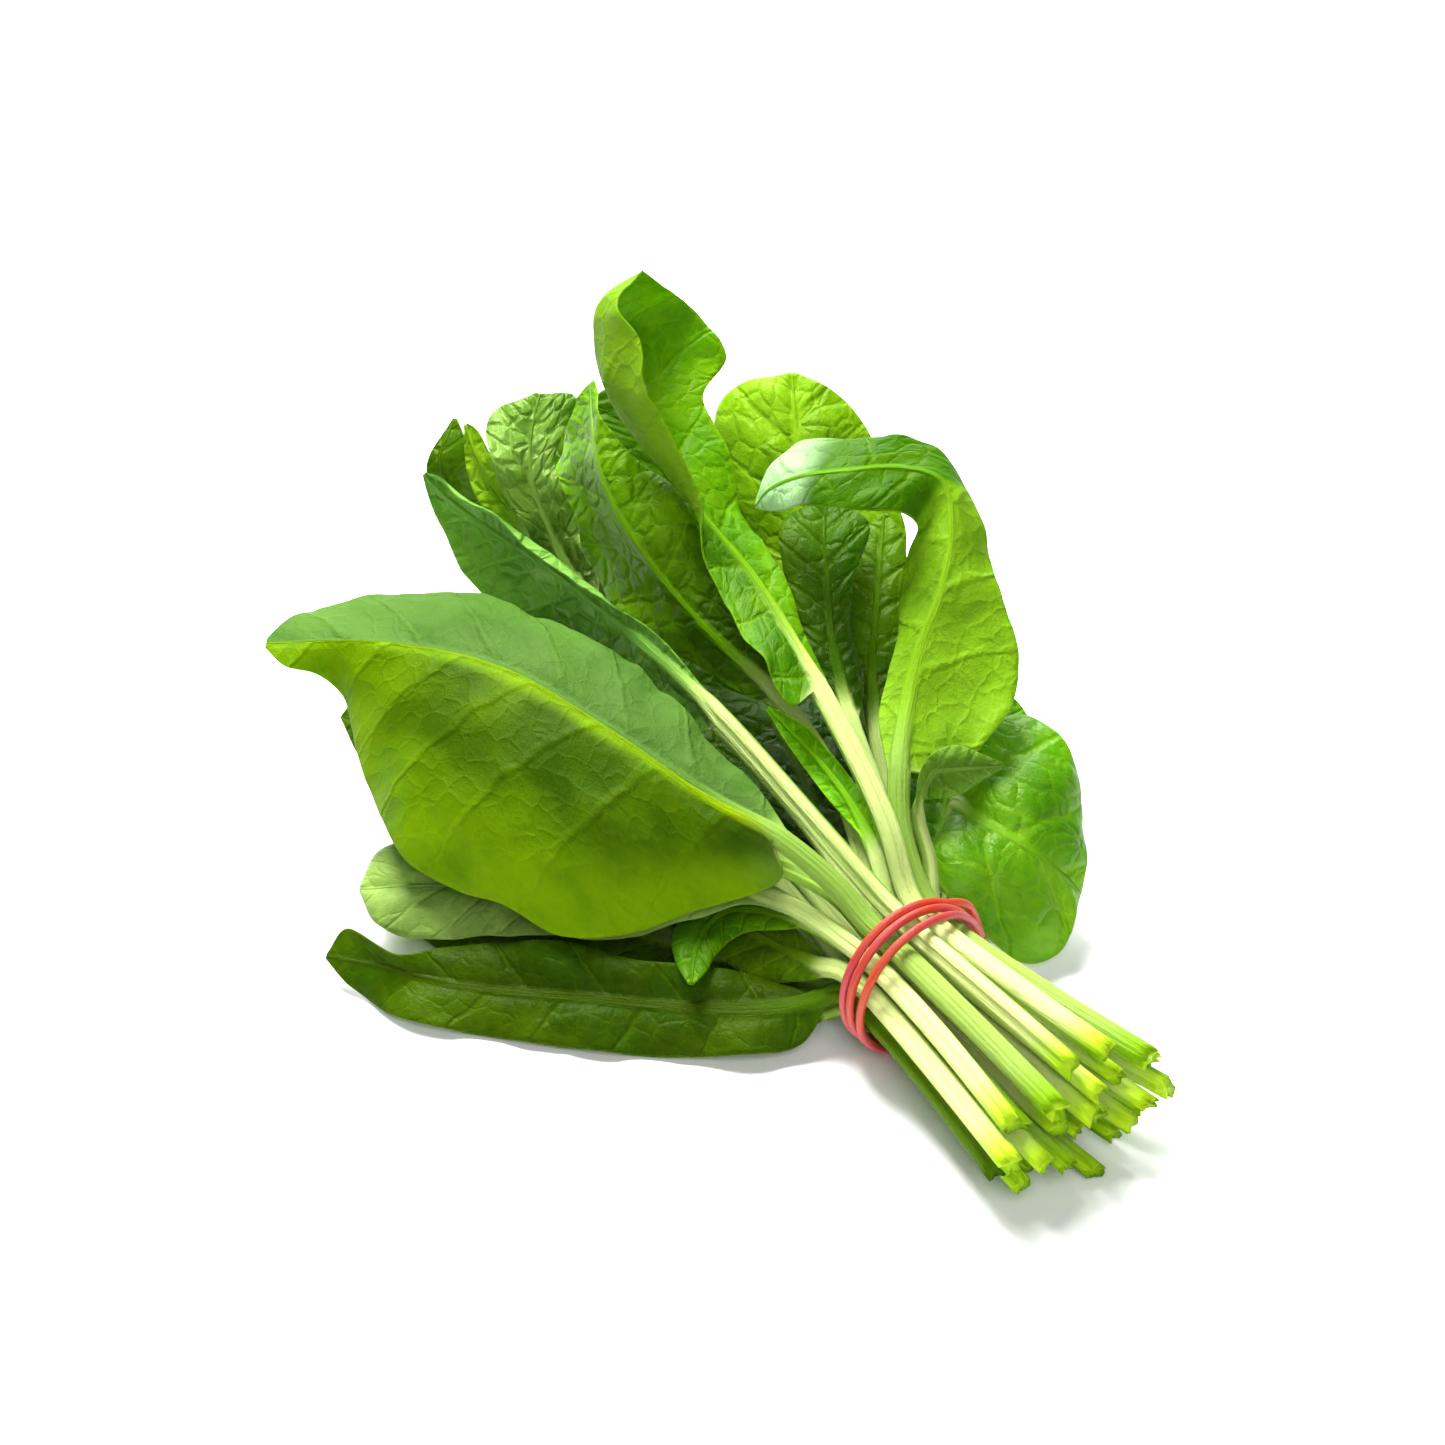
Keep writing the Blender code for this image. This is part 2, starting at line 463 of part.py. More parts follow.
def leaf_sections(spec, count):
    """A closed section at each station: the upper face, then the lower face backwards."""
    points, normals, distance, frame = leaf_sheet(spec, count)
    share, radius = frame["share"], frame["radius"]
    above = np.interp(share, [0, 0.08, 0.3, 1], [0.8, 0.55, 0.12, 0.1])
    below = np.interp(share, [0, 0.1, 1], [0.95, 0.9, 0.8])
    half = BLADE_THICKNESS / 2 * np.interp(share, [0, 0.85, 1], [1, 1, 0.75])
    rib = np.maximum(radius - BLADE_THICKNESS / 2, 0.1)[:, None]
    rib = rib * np.sqrt(np.clip(1 - (distance / radius[:, None]) ** 2, 0, 1))
    upper = points + (half[:, None] + above[:, None] * rib)[..., None] * normals
    lower = points - (half[:, None] + below[:, None] * rib)[..., None] * normals
    return np.concatenate([upper, lower[:, ::-1]], axis=1)


def section_faces(stations, columns):
    """Triangles between closed sections, split alike on the upper and the lower face."""
    faces = []
    half = columns // 2
    for i in range(stations - 1):
        for j in range(columns):
            k = (j + 1) % columns
            a, b = i * columns + j, i * columns + k
            d, c = a + columns, b + columns
            if j < half:
                faces += [(a, c, b), (a, d, c)]
            else:
                faces += [(a, d, b), (d, c, b)]
    return faces


def end_faces(start, columns, turned):
    """A flat end: strips between the upper and the lower face of one section."""
    faces = []
    for j in range(columns // 2 - 1):
        a, b = start + j, start + j + 1
        d, c = start + columns - 1 - j, start + columns - 2 - j
        faces += [(a, b, c), (a, c, d)]
    return [face[::-1] for face in faces] if turned else faces


def facing_out(points, faces):
    """The triangles, turned over if they faced inward."""
    corners = points[np.array(faces)]
    volume = np.einsum("ij,ij->i", corners[:, 0], np.cross(corners[:, 1], corners[:, 2])).sum()
    return faces if volume > 0 else [face[::-1] for face in faces]


def leaf_part(spec, count, collection):
    """One petiole and its blade as one closed solid."""
    sections = leaf_sections(spec, count)
    stations, columns = sections.shape[:2]
    points = sections.reshape(-1, 3)
    faces = section_faces(stations, columns)
    faces += end_faces(0, columns, False)
    faces += end_faces((stations - 1) * columns, columns, True)
    shade = 0.5 + 0.5 * math.sin(1.7 * count)
    colour = (0.1 + 0.09 * shade, 0.27 + 0.12 * shade, 0.035)
    material = new_material("leaf_" + spec["name"], colour, 0.38)
    return new_part(spec["name"], points, facing_out(points, faces), material, collection)


def band_line():
    """The band's centre line: three turns side by side, the last crossing over to the first."""
    steps = BAND_TURNS * BAND_STEPS
    number = np.arange(steps)
    angle = np.radians(-90 + (number % BAND_STEPS + 0.5) * 360 / BAND_STEPS)
    turn = number // BAND_STEPS
    cross = np.degrees(angle)
    moved = smooth((cross + 28) / 50)
    last = turn == BAND_TURNS - 1
    place = np.where(last, 1 - 2 * moved, turn - 1 + moved)
    front = smooth(np.cos(angle - math.radians(129)) * 0.9 + 0.05)
    x = BAND_SHIFT + place * BAND_PITCH + np.maximum(place, 0) * (BAND_SPREAD - BAND_PITCH) * front
    rise = smooth((cross + 62) / 30) * smooth((58 - cross) / 30)
    radius = BAND_RADIUS + np.where(last, BAND_LIFT * rise, 0) + 0.016 * (x - BAND_SHIFT) ** 2 * front
    outward = np.stack([np.zeros(steps), np.cos(angle), np.sin(angle)], axis=1)
    line = outward * radius[:, None]
    line[:, 0] = x
    line[:, 2] += BAND_HEIGHT
    return line, outward


def band_sections():
    """A six-sided section at each point of the band, one flat side facing out."""
    line, outward = band_line()
    along = unit(np.roll(line, -1, axis=0) - np.roll(line, 1, axis=0))
    side = unit(np.cross(along, outward))
    out = unit(np.cross(side, along))
    turns = 2 * np.pi * (np.arange(BAND_SIDES) + 0.5) / BAND_SIDES
    reach = BAND_THICKNESS / 2
    sideways = (reach * np.sin(turns))[None, :, None] * side[:, None]
    outwards = (reach * np.cos(turns))[None, :, None] * out[:, None]
    return line[:, None] + sideways + outwards


def band_part(collection):
    """The rubber band: one closed loop of three turns, flat where it meets the floor."""
    sections = band_sections()
    stations, columns = sections.shape[:2]
    points = sections.reshape(-1, 3)
    points[:, 2] = np.where(points[:, 2] < 0.05, 0, points[:, 2])
    faces = []
    for i in range(stations):
        after = (i + 1) % stations
        for j in range(columns):
            k = (j + 1) % columns
            a, b = i * columns + j, i * columns + k
            d, c = after * columns + j, after * columns + k
            faces += [(a, c, b), (a, d, c)]
    material = new_material("rubber_band", (0.75, 0.1, 0.12), 0.45)
    return new_part("rubber_band", points, facing_out(points, faces), material, collection)


def main():
    clear_scene()
    parts = new_collection("parts")
    new_collection("cutters")
    for count, spec in enumerate(LEAVES):
        leaf_part(spec, count, parts)
    band_part(parts)


main()
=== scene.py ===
"""The looks of a bunch of fresh spinach, held by a rubber band wound three times.

Sizes are in millimetres until the meshes are made. Each leaf follows the same middle line and
edges as its solid in the frame, on a much finer mesh, with its veins, puckers and waves.
"""
import json
import math
from types import SimpleNamespace

import bpy
import numpy as np
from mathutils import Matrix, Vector

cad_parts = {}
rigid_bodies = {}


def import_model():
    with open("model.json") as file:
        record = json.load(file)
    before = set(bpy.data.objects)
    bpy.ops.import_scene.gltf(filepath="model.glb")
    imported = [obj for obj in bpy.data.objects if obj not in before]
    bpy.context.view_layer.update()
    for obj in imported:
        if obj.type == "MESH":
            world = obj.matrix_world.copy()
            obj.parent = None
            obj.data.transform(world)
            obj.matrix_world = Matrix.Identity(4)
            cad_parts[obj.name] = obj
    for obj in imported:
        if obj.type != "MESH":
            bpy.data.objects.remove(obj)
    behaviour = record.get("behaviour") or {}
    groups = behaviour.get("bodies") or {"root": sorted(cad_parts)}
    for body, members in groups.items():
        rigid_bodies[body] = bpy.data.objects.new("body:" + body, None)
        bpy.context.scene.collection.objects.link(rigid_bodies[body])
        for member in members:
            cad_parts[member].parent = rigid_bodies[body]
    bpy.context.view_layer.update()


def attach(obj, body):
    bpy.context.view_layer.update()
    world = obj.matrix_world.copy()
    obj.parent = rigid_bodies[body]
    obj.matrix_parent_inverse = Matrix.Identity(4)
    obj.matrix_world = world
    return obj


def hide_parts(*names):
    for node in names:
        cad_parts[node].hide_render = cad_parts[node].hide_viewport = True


MM = 0.001

# The camera's side and height in degrees, and what it looks at
CAMERA_SIDE = 54
CAMERA_HEIGHT = 36
CAMERA_LENS = 105
CAMERA_DISTANCE = 1053.6
CAMERA_TARGET = (-58.2, -16.3, 71.7)

# The lights: name, place, what it looks at, size in metres, power in watts, colour
LIGHTS = (
    ("key", (-0.62, 0.12, 0.95), (-0.07, 0, 0.05), 0.55, 40, (1.0, 1.0, 0.98)),
    ("fill", (0.42, -0.24, 0.45), (0.02, 0, 0.03), 0.4, 2.6, (1.0, 1.0, 0.97)),
    ("back", (-0.85, 0.75, 0.5), (-0.07, 0, 0.05), 0.5, 7, (0.93, 1.0, 0.98)),
)
WORLD_COLOUR = (0.94, 0.97, 1.0, 1)
WORLD_STRENGTH = 0.13
FLOOR_COLOUR = (0.93, 0.93, 0.93, 1)
FLOOR_REACH = 3.0
FLOOR_PLACE = (-0.05, 0, -0.0003)

# Where the stems stand in the bundle: how many, how far from its centre, and the first angle
BUNDLE_HEIGHT = 20.5
RINGS = {
    "core": (3, 3.6, 90.0),
    "inner": (9, 9.4, 0.0),
    "outer": (14, 15.2, 14.3),
}

# The rubber band. Angles are in degrees round the bundle
BAND_THICKNESS = 2.4
BAND_TURNS = 3
BAND_STEPS = 120
BAND_SIDES = 16
BAND_RADIUS = 19.75
BAND_HEIGHT = 20.73
BAND_PITCH = 2.75
BAND_SPREAD = 5.2
BAND_LIFT = 2.9
BAND_SHIFT = 0.3
BAND_CROSS_START = -28
BAND_CROSS_LENGTH = 50
BAND_OPEN_SIDE = 129
BAND_ORANGE = (0.56, 0.055, 0.014)
BAND_MAGENTA = (0.52, 0.05, 0.075)
BAND_DARK = (0.28, 0.02, 0.008)
BAND_PALE = (0.9, 0.3, 0.2)

# Leaves. LOWEST is their height over the floor, and each dent is a height, a length, a width and a seed
BLADE_THICKNESS = 0.62
BLADE_LIGHT = 0.84
BOW = ((0.1, 0.1), (0.1, 0.1))
CURVE_STEPS = 40
LOWEST = 0.05
DENTS = ((0.5, 6.5, 5.0, 1), (0.22, 3.1, 2.7, 2), (0.95, 19, 13, 4))
CUSHION_HEIGHT = 0.8
EDGE_WAVE = 0.8
EDGE_RUFFLE = 0.18

# Colours in the leaves' pattern. A tint multiplies the colour that it acts on
DARK_PATCH = (0.02, 0.09, 0.001)
# the folded-over end is darker: its upper face's own deeper green, with painted shade
TURNED_FACE_SHADE_TINT = (0.38, 0.42, 0.1)
# painted highlight: the pale sheen on the end of a leaf that is folded over
TIP_HIGHLIGHT = (0.52, 0.80, 0.42)
# painted shade: the colour of the cupped middle of each half
CUP_SHADE_TINT = (0.2, 0.24, 0.08)
PAST_BAND_TINT = (0.52, 0.66, 0.42)
# painted shade on the under side of the stems
STEM_UNDERSIDE_SHADE = (0.32, 0.5, 0.12)
GLOW = (0.38, 0.68, 0.001)
# Shares of a leaf past its tip, for one that is not folded over
NEVER = (2.0, 3.0)
SEED_STEP = 37.0
PATTERN_SOCKETS = (
    ("INPUT", "Color", ("Upper", "Lower", "Vein", "Stem", "Stem Green", "Right Light Tint")),
    ("INPUT", "Float", (
        "Seed", "Pale Rib", "Turn Start", "Turn End", "Shade Left", "Shade Right", "Crinkle",
        "Base Shade Level", "Tip Highlight",
    )),
    ("OUTPUT", "Color", ("Color", "Glow")),
    ("OUTPUT", "Float", ("Blade", "Roughness", "Height")),
)


def leaf(name, place, stem, mid, left, right, petiole=(), bow=BOW, ruffle=(0, 2, 0), tip=0.6):
    """One leaf as named values: the points along its middle and its two edges.

    left and right are as seen on its upper face with the tip away. bow bends the left and the
    right half, from base to tip. ruffle is the edge's wave: height, count and start.
    """
    return {
        "name": name, "place": place, "petiole": list(petiole), "mid": mid, "left": left,
        "right": right, "stem": stem, "bow": bow, "ruffle": ruffle, "tip": tip,
    }


LEAVES = [
    # The large leaf that faces the viewer, rolled under along its lower edge
    leaf("front_large", ("outer", 4), stem=3.1, bow=((-0.05, -0.1), (-0.1, -0.14), (0.0, -0.05)),
        ruffle=(1.5, 2.5, 0.2), tip=1.6,
        petiole=[(-21, -8.5, 40)],
        mid=[(-38.5, -13, 46), (-60, -22, 52), (-89.5, -32, 60), (-119.5, -42.5, 65), (-148.5, -61, 64),
        (-170, -82.5, 60)],
        left=[(-61, -6, 49), (-95.5, -9.5, 56), (-122, -13.5, 61), (-151.5, -25.5, 62), (-166.5, -43.5, 60),
        (-174.5, -60.5, 61), (-174, -74, 61.5)],
        right=[(-35.5, -14.5, 36), (-49, -33, 25), (-59.5, -56.5, 21), (-88.5, -73.5, 25),
        (-109.5, -81.5, 29), (-136, -76.5, 38), (-151.5, -70.5, 48), (-157.5, -75, 54), (-161.5, -82, 57)]),
    # The long leaf along the floor at the left, with a crumpled end
    leaf("low_left", ("outer", 7), stem=3, bow=((0.05, 0.05), (0.1, 0.1), (0.0, 0.0)),
        ruffle=(1.0, 3.5, 0.0),
        mid=[(-13, -17.5, 13.5), (-25, -35, 10), (-50, -60.5, 9), (-76.5, -85.5, 8), (-95, -97.5, 8),
        (-108.5, -105.5, 6)],
        left=[(-10.5, -27, 4.5), (-18, -41.5, 3), (-34, -59.5, 1.5), (-48, -74, 1.4), (-64, -87.5, 1.4),
        (-78, -99.5, 2), (-98, -104.5, 2)],
        right=[(-20.5, -19.5, 12), (-31.5, -27.5, 14), (-47.5, -46.5, 16), (-67, -61, 16), (-85, -82.5, 14),
        (-91.5, -93.5, 12), (-108.5, -99.5, 12)]),
    # The leaf between it and the large one, its pale underside showing
    leaf("low_grey", ("outer", 5), stem=2.6, bow=((0.1, 0.1), (0.12, 0.12)), ruffle=(0.8, 2.5, 0.3),
        petiole=[(-20, -13, 30)],
        mid=[(-34, -13.5, 28), (-50, -16.5, 24.5), (-63.5, -26, 22), (-79.5, -43, 20), (-94, -61, 18),
        (-106, -78, 18), (-117, -89.5, 15)],
        left=[(-44.5, -17.5, 23), (-51.5, -31.5, 20.5), (-63.5, -51, 15), (-82, -69, 14), (-92, -84, 12.5),
        (-105, -91.5, 12)],
        right=[(-53, -13, 26), (-69.5, -25, 25), (-87, -38, 24), (-104, -54.5, 22.5), (-116.5, -68, 21),
        (-124, -79, 18)]),
    # A small dark leaf close to the band
    leaf("low_dark", ("outer", 6), stem=2.8, ruffle=(0.5, 2.0, 0.3),
        mid=[(-14, -15.5, 21.5), (-29, -16, 17), (-45, -20, 16.5), (-57, -24, 16)],
        left=[(-20, -19, 15), (-31, -24, 10.5), (-44, -27, 10.5), (-53, -28, 12.5)],
        right=[(-22, -13, 20), (-39, -11, 18.5), (-52, -14, 18), (-58, -19, 17)]),
    # A thin leaf that hangs over it
    leaf("low_drop", ("inner", 4), stem=2.4,
        petiole=[(-20, -10, 25)],
        mid=[(-29, -11.5, 24.5), (-42, -16.5, 22.5), (-49, -23, 20), (-45.5, -32.5, 18.5),
        (-33.5, -44, 17)],
        left=[(-33, -17, 22), (-40, -23.5, 19.5), (-39.5, -31.5, 17.5), (-35.5, -38, 17)],
        right=[(-45, -10, 22.5), (-55.5, -18.5, 19), (-56, -28, 18), (-51.5, -37, 17.5),
        (-41.5, -42.5, 17)]),
    # A leaf tip that shows under the long one
    leaf("floor_tip", ("outer", 8), stem=2.4,
        mid=[(-15, -15.5, 6.5), (-22, -23, 4), (-28, -33, 2.5), (-33, -45, 1)],
        left=[(-16, -25, 3), (-21, -35, 2), (-27, -42, 1)],
        right=[(-26, -22, 4.5), (-33, -32, 3), (-37, -40, 1.5)]),
    # The leaf behind the large one
    leaf("under_front", ("inner", 3), stem=2.6, bow=((0.1, 0.1), (0.12, 0.12)), ruffle=(1.0, 2.0, 0.3),
        petiole=[(-25, -6, 34)],
        mid=[(-44.5, -11.5, 34), (-75.5, -26.5, 35), (-109.5, -44, 35), (-139, -56, 34),
        (-164.5, -64.5, 32)],
        left=[(-48.5, -21, 30.5), (-72, -38.5, 29), (-99, -57.5, 28.5), (-130, -68.5, 30),
        (-147.5, -69, 30)],
        right=[(-69.5, -15, 40), (-100, -25, 42), (-128.5, -37.5, 42), (-153.5, -49.5, 40),
        (-165, -57, 37)]),
    # The long rolled leaf above the large one
    leaf("rolled_long", ("outer", 3), stem=3, bow=((-0.1, -0.1), (-0.12, -0.25), (-0.1, -0.2)),
        ruffle=(1.0, 3.0, 0.2),
        petiole=[(-33, -1, 43)],
        mid=[(-82, 0.5, 52), (-112, -1, 57), (-143, -4.5, 63), (-167, -14, 71), (-180, -20, 77),
        (-186.5, -22, 81)],
        left=[(-92, -2.5, 42), (-122, -10, 42), (-147.5, -15, 46), (-162, -19, 53), (-174.5, -21, 63),
        (-183, -22.5, 74)],
        right=[(-94, 2.5, 55), (-114.5, 1.5, 61), (-127, -5, 65), (-144, -10, 71), (-159, -17, 77),
        (-179.5, -20, 82)]),
    # Its neighbour, whose tip curls up
    leaf("rolled_tip", ("inner", 5), stem=2.5, bow=((-0.1, -0.1), (-0.1, -0.1), (-0.1, -0.1)),
        petiole=[(-55, -5, 24)],
        mid=[(-100, -6, 33), (-135, -5, 43), (-162, -5, 54), (-185, -10, 67), (-191, -14, 79),
        (-197, -5, 87)],
        left=[(-118, -12, 31), (-145, -12, 38), (-165, -9, 47), (-188, -14, 64), (-193, -17, 78)],
        right=[(-125, 0, 39), (-152, -1, 50), (-172, -3, 66), (-184, -9, 79), (-189, -7, 85)]),
    # A narrow folded leaf with a yellow edge
    leaf("yellow_fold", ("core", 1), stem=2.5, bow=((-0.1, -0.1), (-0.1, -0.1)),
        petiole=[(-60, -2, 30)],
        mid=[(-102, -1, 41), (-132, -2, 50), (-152, -4, 59), (-165, -4, 69), (-174, -7, 77), (-182, -8, 84),
        (-190, -6, 89)],
        left=[(-116, -5, 42), (-145, -6, 52), (-163, -4, 62), (-174, -11, 72), (-184, -10, 80)],
        right=[(-118, 2, 47), (-145, 2, 57), (-160, 0, 70), (-167, -6, 76), (-178, -6, 85),
        (-186, -5, 89)]),
    # The crinkled pale leaf at the upper left
    leaf("crinkled", ("core", 2), stem=2.5, ruffle=(1.0, 4.0, 0.1), tip=1.2,
        petiole=[(-60, 10, 30), (-119, 1, 54)],
        mid=[(-138.5, -1, 57.5), (-150.5, -2, 65), (-158, -2.5, 74), (-164.5, -2, 83), (-171, 2.5, 90.5),
        (-179, 11, 98)],
        left=[(-142, -4, 58), (-153, -5.5, 65), (-159.5, -9, 75), (-166.5, -10.5, 84), (-173.5, -9.5, 90.5),
        (-182.5, -3, 94)],
        right=[(-140.5, 2.5, 62), (-147.5, 2.5, 68.5), (-153.5, 4.5, 75), (-159, 4, 81), (-164, 5, 87),
        (-170.5, 13.5, 91.5), (-174.5, 19.5, 96.5)]),
    # The deep folded leaf right of it
    leaf("brown_fold", ("core", 0), stem=2.6, bow=((-0.1, -0.1), (-0.1, 0.15), (-0.05, 0.1)),
        ruffle=(2.2, 3.0, 0.4), tip=1.6,
        petiole=[(-55, 19, 37)],
        mid=[(-84, 22, 47), (-109, 17, 56), (-127, 14, 65), (-138, 12, 73), (-148, 12, 80), (-159, 15, 88),
        (-179.5, 27.5, 95)],
        left=[(-110.5, 15.5, 44), (-127, 11.5, 45), (-144.5, 9.5, 49), (-156.5, 8.5, 55), (-166.5, 10, 63),
        (-177, 13.5, 70), (-181.5, 18, 78), (-182.5, 22, 86.5)],
        right=[(-97, 27, 57), (-121, 28, 68), (-132, 28, 75), (-143, 27, 83), (-150, 22, 88),
        (-162, 21, 93)]),
    # The tallest leaf, twisted, with its keel on the left
    leaf("tall_centre", ("outer", 2), stem=3.1, bow=((0.1, 0.1), (-0.08, -0.1), (-0.1, -0.1)),
        ruffle=(1.0, 3.0, 0.1),
        petiole=[(-26.5, 11, 49)],
        mid=[(-67, 21.5, 60), (-84.5, 24.5, 66), (-104.5, 27, 73), (-119, 26, 80), (-134.5, 22, 89),
        (-154.5, 18, 102), (-167.5, 20.5, 114), (-173, 27.5, 124), (-171, 39.5, 130)],
        left=[(-66, 11.5, 61), (-81, 11.5, 68), (-103, 16, 73), (-114, 18, 79), (-122, 22.5, 88),
        (-132, 24, 101), (-142, 21, 114), (-150, 23, 123), (-158.5, 23.5, 129)],
        right=[(-79, 28.5, 62), (-103.5, 35.5, 71), (-122.5, 38.5, 77), (-136.5, 43, 87), (-153, 46, 97),
        (-158.5, 57, 103), (-166.5, 55, 113), (-170.5, 47, 122)]),
    # The round light leaf behind
    leaf("back_light", ("inner", 8), stem=2.6, bow=((0.1, 0.1), (0.15, 0.1)), ruffle=(1.0, 2.0, 0.1),
        tip=1.2,
        petiole=[(-62, 41, 29)],
        mid=[(-96, 50, 47), (-115, 57, 61), (-129, 62, 74), (-139, 67, 83), (-153, 76, 94)],
        left=[(-117, 46, 48), (-137, 49, 62), (-153, 52, 75), (-161, 57, 84), (-160, 64, 91)],
        right=[(-94, 65, 50), (-108, 81, 60), (-122, 86, 72), (-134, 87, 82), (-143, 84, 89)]),
    # The tall leaf at the right, its end folded over toward the viewer
    leaf("right_tall", ("outer", 1), stem=3.1, bow=((0.1, 0.1), (-0.06, -0.06), (-0.03, -0.03)),
        ruffle=(0.6, 2.5, 0.1),
        petiole=[(-25.5, 16, 41)],
        mid=[(-38, 24.5, 51), (-54.5, 40.5, 60), (-61.5, 49.5, 68), (-66.5, 59.5, 77), (-75, 69.5, 87),
        (-85.5, 74, 96), (-92.5, 66, 99), (-97.5, 53.5, 100), (-106.5, 44, 97), (-116, 40.5, 89),
        (-121.5, 40.5, 81)],
        left=[(-33, 36.5, 47), (-35.5, 51.5, 51), (-40, 62.5, 55), (-48, 71.5, 62), (-65.5, 76, 74),
        (-73.5, 80.5, 82), (-84, 82, 91), (-96, 81.5, 97), (-106.5, 63.5, 101), (-116, 50.5, 99),
        (-122, 45.5, 92)],
        right=[(-55.5, 32, 55), (-68.5, 47, 65), (-78, 55, 73), (-85, 66.5, 83), (-82.5, 60, 91),
        (-87.5, 49, 95), (-100, 40.5, 93), (-110, 40, 86)]),
    # A dark leaf in the shade under that fold
    leaf("centre_dark", ("inner", 1), stem=2.4,
        petiole=[(-43.5, 24, 36)],
        mid=[(-66, 30.5, 48), (-82.5, 37.5, 58), (-96.5, 46, 66), (-107.5, 53, 73), (-116.5, 60.5, 78)],
        left=[(-77, 31, 51), (-91.5, 33, 58), (-105.5, 38.5, 67), (-119, 48, 75)],
        right=[(-74, 40.5, 52), (-86, 45.5, 59), (-95, 53, 67), (-105, 65.5, 75)]),
    # A narrow leaf beside it
    leaf("centre_mid", ("inner", 0), stem=2.4,
        petiole=[(-51, 32, 32)],
        mid=[(-63.5, 37.5, 40), (-79.5, 48, 49), (-90.5, 57.5, 58), (-103, 68.5, 66), (-110.5, 75.5, 71)],
        left=[(-75.5, 42, 44), (-90, 49.5, 52), (-102, 58.5, 61), (-111, 69, 68)],
        right=[(-72.5, 48.5, 46), (-83, 61.5, 54), (-95, 71.5, 63), (-103.5, 75.5, 69)]),
    # A small curled leaf near the band
    leaf("right_small", ("outer", 0), stem=2.4,
        petiole=[(-21, 21.5, 35)],
        mid=[(-28.5, 23.5, 43), (-29, 25.5, 50), (-27, 27.5, 56), (-22, 31.5, 58), (-19.5, 37.5, 57.5),
        (-18, 42, 57)],
        left=[(-29.5, 24, 54), (-29, 27.5, 60), (-26.5, 33, 62), (-21.5, 38, 60)],
        right=[(-30, 26, 46), (-26, 28, 48), (-22.5, 31, 50), (-19.5, 36, 54)]),
    # The round glossy leaf at the right, bent down to the floor
    leaf("right_round", ("outer", 13), stem=2.9, ruffle=(0.8, 2.5, 0.1), tip=0.8,
        petiole=[(-20, 27, 14), (-31, 39, 19)],
        mid=[(-38.5, 44, 31), (-26.5, 44, 33), (-16.5, 47.5, 31), (-10.5, 54, 24), (-7, 61, 14)],
        left=[(-41.5, 51.5, 40), (-45.5, 59, 44), (-46, 70.5, 45), (-36, 74.5, 42), (-24.5, 73.5, 34),
        (-13.5, 68, 25)],
        right=[(-32, 33.5, 31), (-26, 25, 28), (-15, 25, 22), (-7, 31, 13), (-1.5, 38.5, 5), (-0.5, 47, 4),
        (-0.5, 53, 11)]),
    # A short narrow leaf on top of the petioles
    leaf("narrow_green", ("inner", 2), stem=2.4, bow=((-0.1, -0.1), (-0.1, -0.1)), ruffle=(0.6, 3.0, 0.1),
        mid=[(-25, 8, 38), (-43, 13.5, 42), (-60.5, 15, 46), (-78.5, 13, 52)],
        left=[(-31.5, 9, 39), (-49.5, 11, 41), (-66.5, 12, 46)],
        right=[(-33, 15, 42), (-51, 18, 45), (-67, 16.5, 51)]),
    # Leaves under the bunch and behind it
    leaf("floor_front", ("outer", 9), stem=2.5,
        mid=[(-22, -7, 5.5), (-55, -26, 4.5), (-90, -48, 6), (-125, -66, 5)],
        left=[(-45, -38, 2), (-80, -68, 1.5), (-112, -78, 1.5)],
        right=[(-50, -10, 3.5), (-90, -24, 4), (-122, -44, 4)]),
    leaf("floor_mid", ("outer", 10), stem=2.5,
        mid=[(-25, 0, 6.5), (-65, -2, 9.5), (-110, -8, 12), (-160, -18, 11)],
        left=[(-48, -15, 8), (-88, -34, 9), (-135, -42, 9.5)],
        right=[(-48, 14, 8), (-92, 24, 9.5), (-140, 18, 10)]),
    leaf("floor_back", ("outer", 11), stem=2.5,
        mid=[(-25, 11, 6), (-65, 32, 5), (-110, 56, 6), (-148, 76, 5)],
        left=[(-55, 12, 4), (-98, 24, 5), (-140, 48, 5)],
        right=[(-38, 44, 1.5), (-76, 74, 1), (-118, 90, 1)]),
    leaf("back_right", ("outer", 12), stem=2.5, tip=1.2,
        mid=[(-22, 20, 12), (-45, 45, 13), (-70, 68, 19), (-93, 88, 28)],
        left=[(-45, 26, 12), (-82, 46, 18), (-104, 68, 27)],
        right=[(-28, 48, 8), (-44, 78, 11), (-70, 94, 21)]),
    leaf("under_left", ("inner", 6), stem=2.4,
        mid=[(-30, -6, 13), (-80, -13, 18), (-130, -20, 23), (-168, -26, 28)],
        left=[(-60, -17, 13), (-112, -40, 16), (-152, -46, 23)],
        right=[(-62, 4, 16), (-112, 15, 22), (-155, 5, 28)]),
    leaf("under_back", ("inner", 7), stem=2.4, tip=2.2,
        mid=[(-30, 8, 14), (-80, 25, 24), (-124, 38, 37.5), (-148, 41.5, 54), (-168, 42, 69.5),
        (-188.5, 39.5, 85)],
        left=[(-66, 9, 20), (-106, 8.5, 26.5), (-136, 14.5, 31), (-159.5, 14.5, 45.5), (-178.5, 17, 62),
        (-191, 22.5, 73.5)],
        right=[(-58, 37, 19), (-117, 53.5, 30), (-141, 55.5, 47.5), (-158, 56, 63), (-176, 52, 78)]),
]
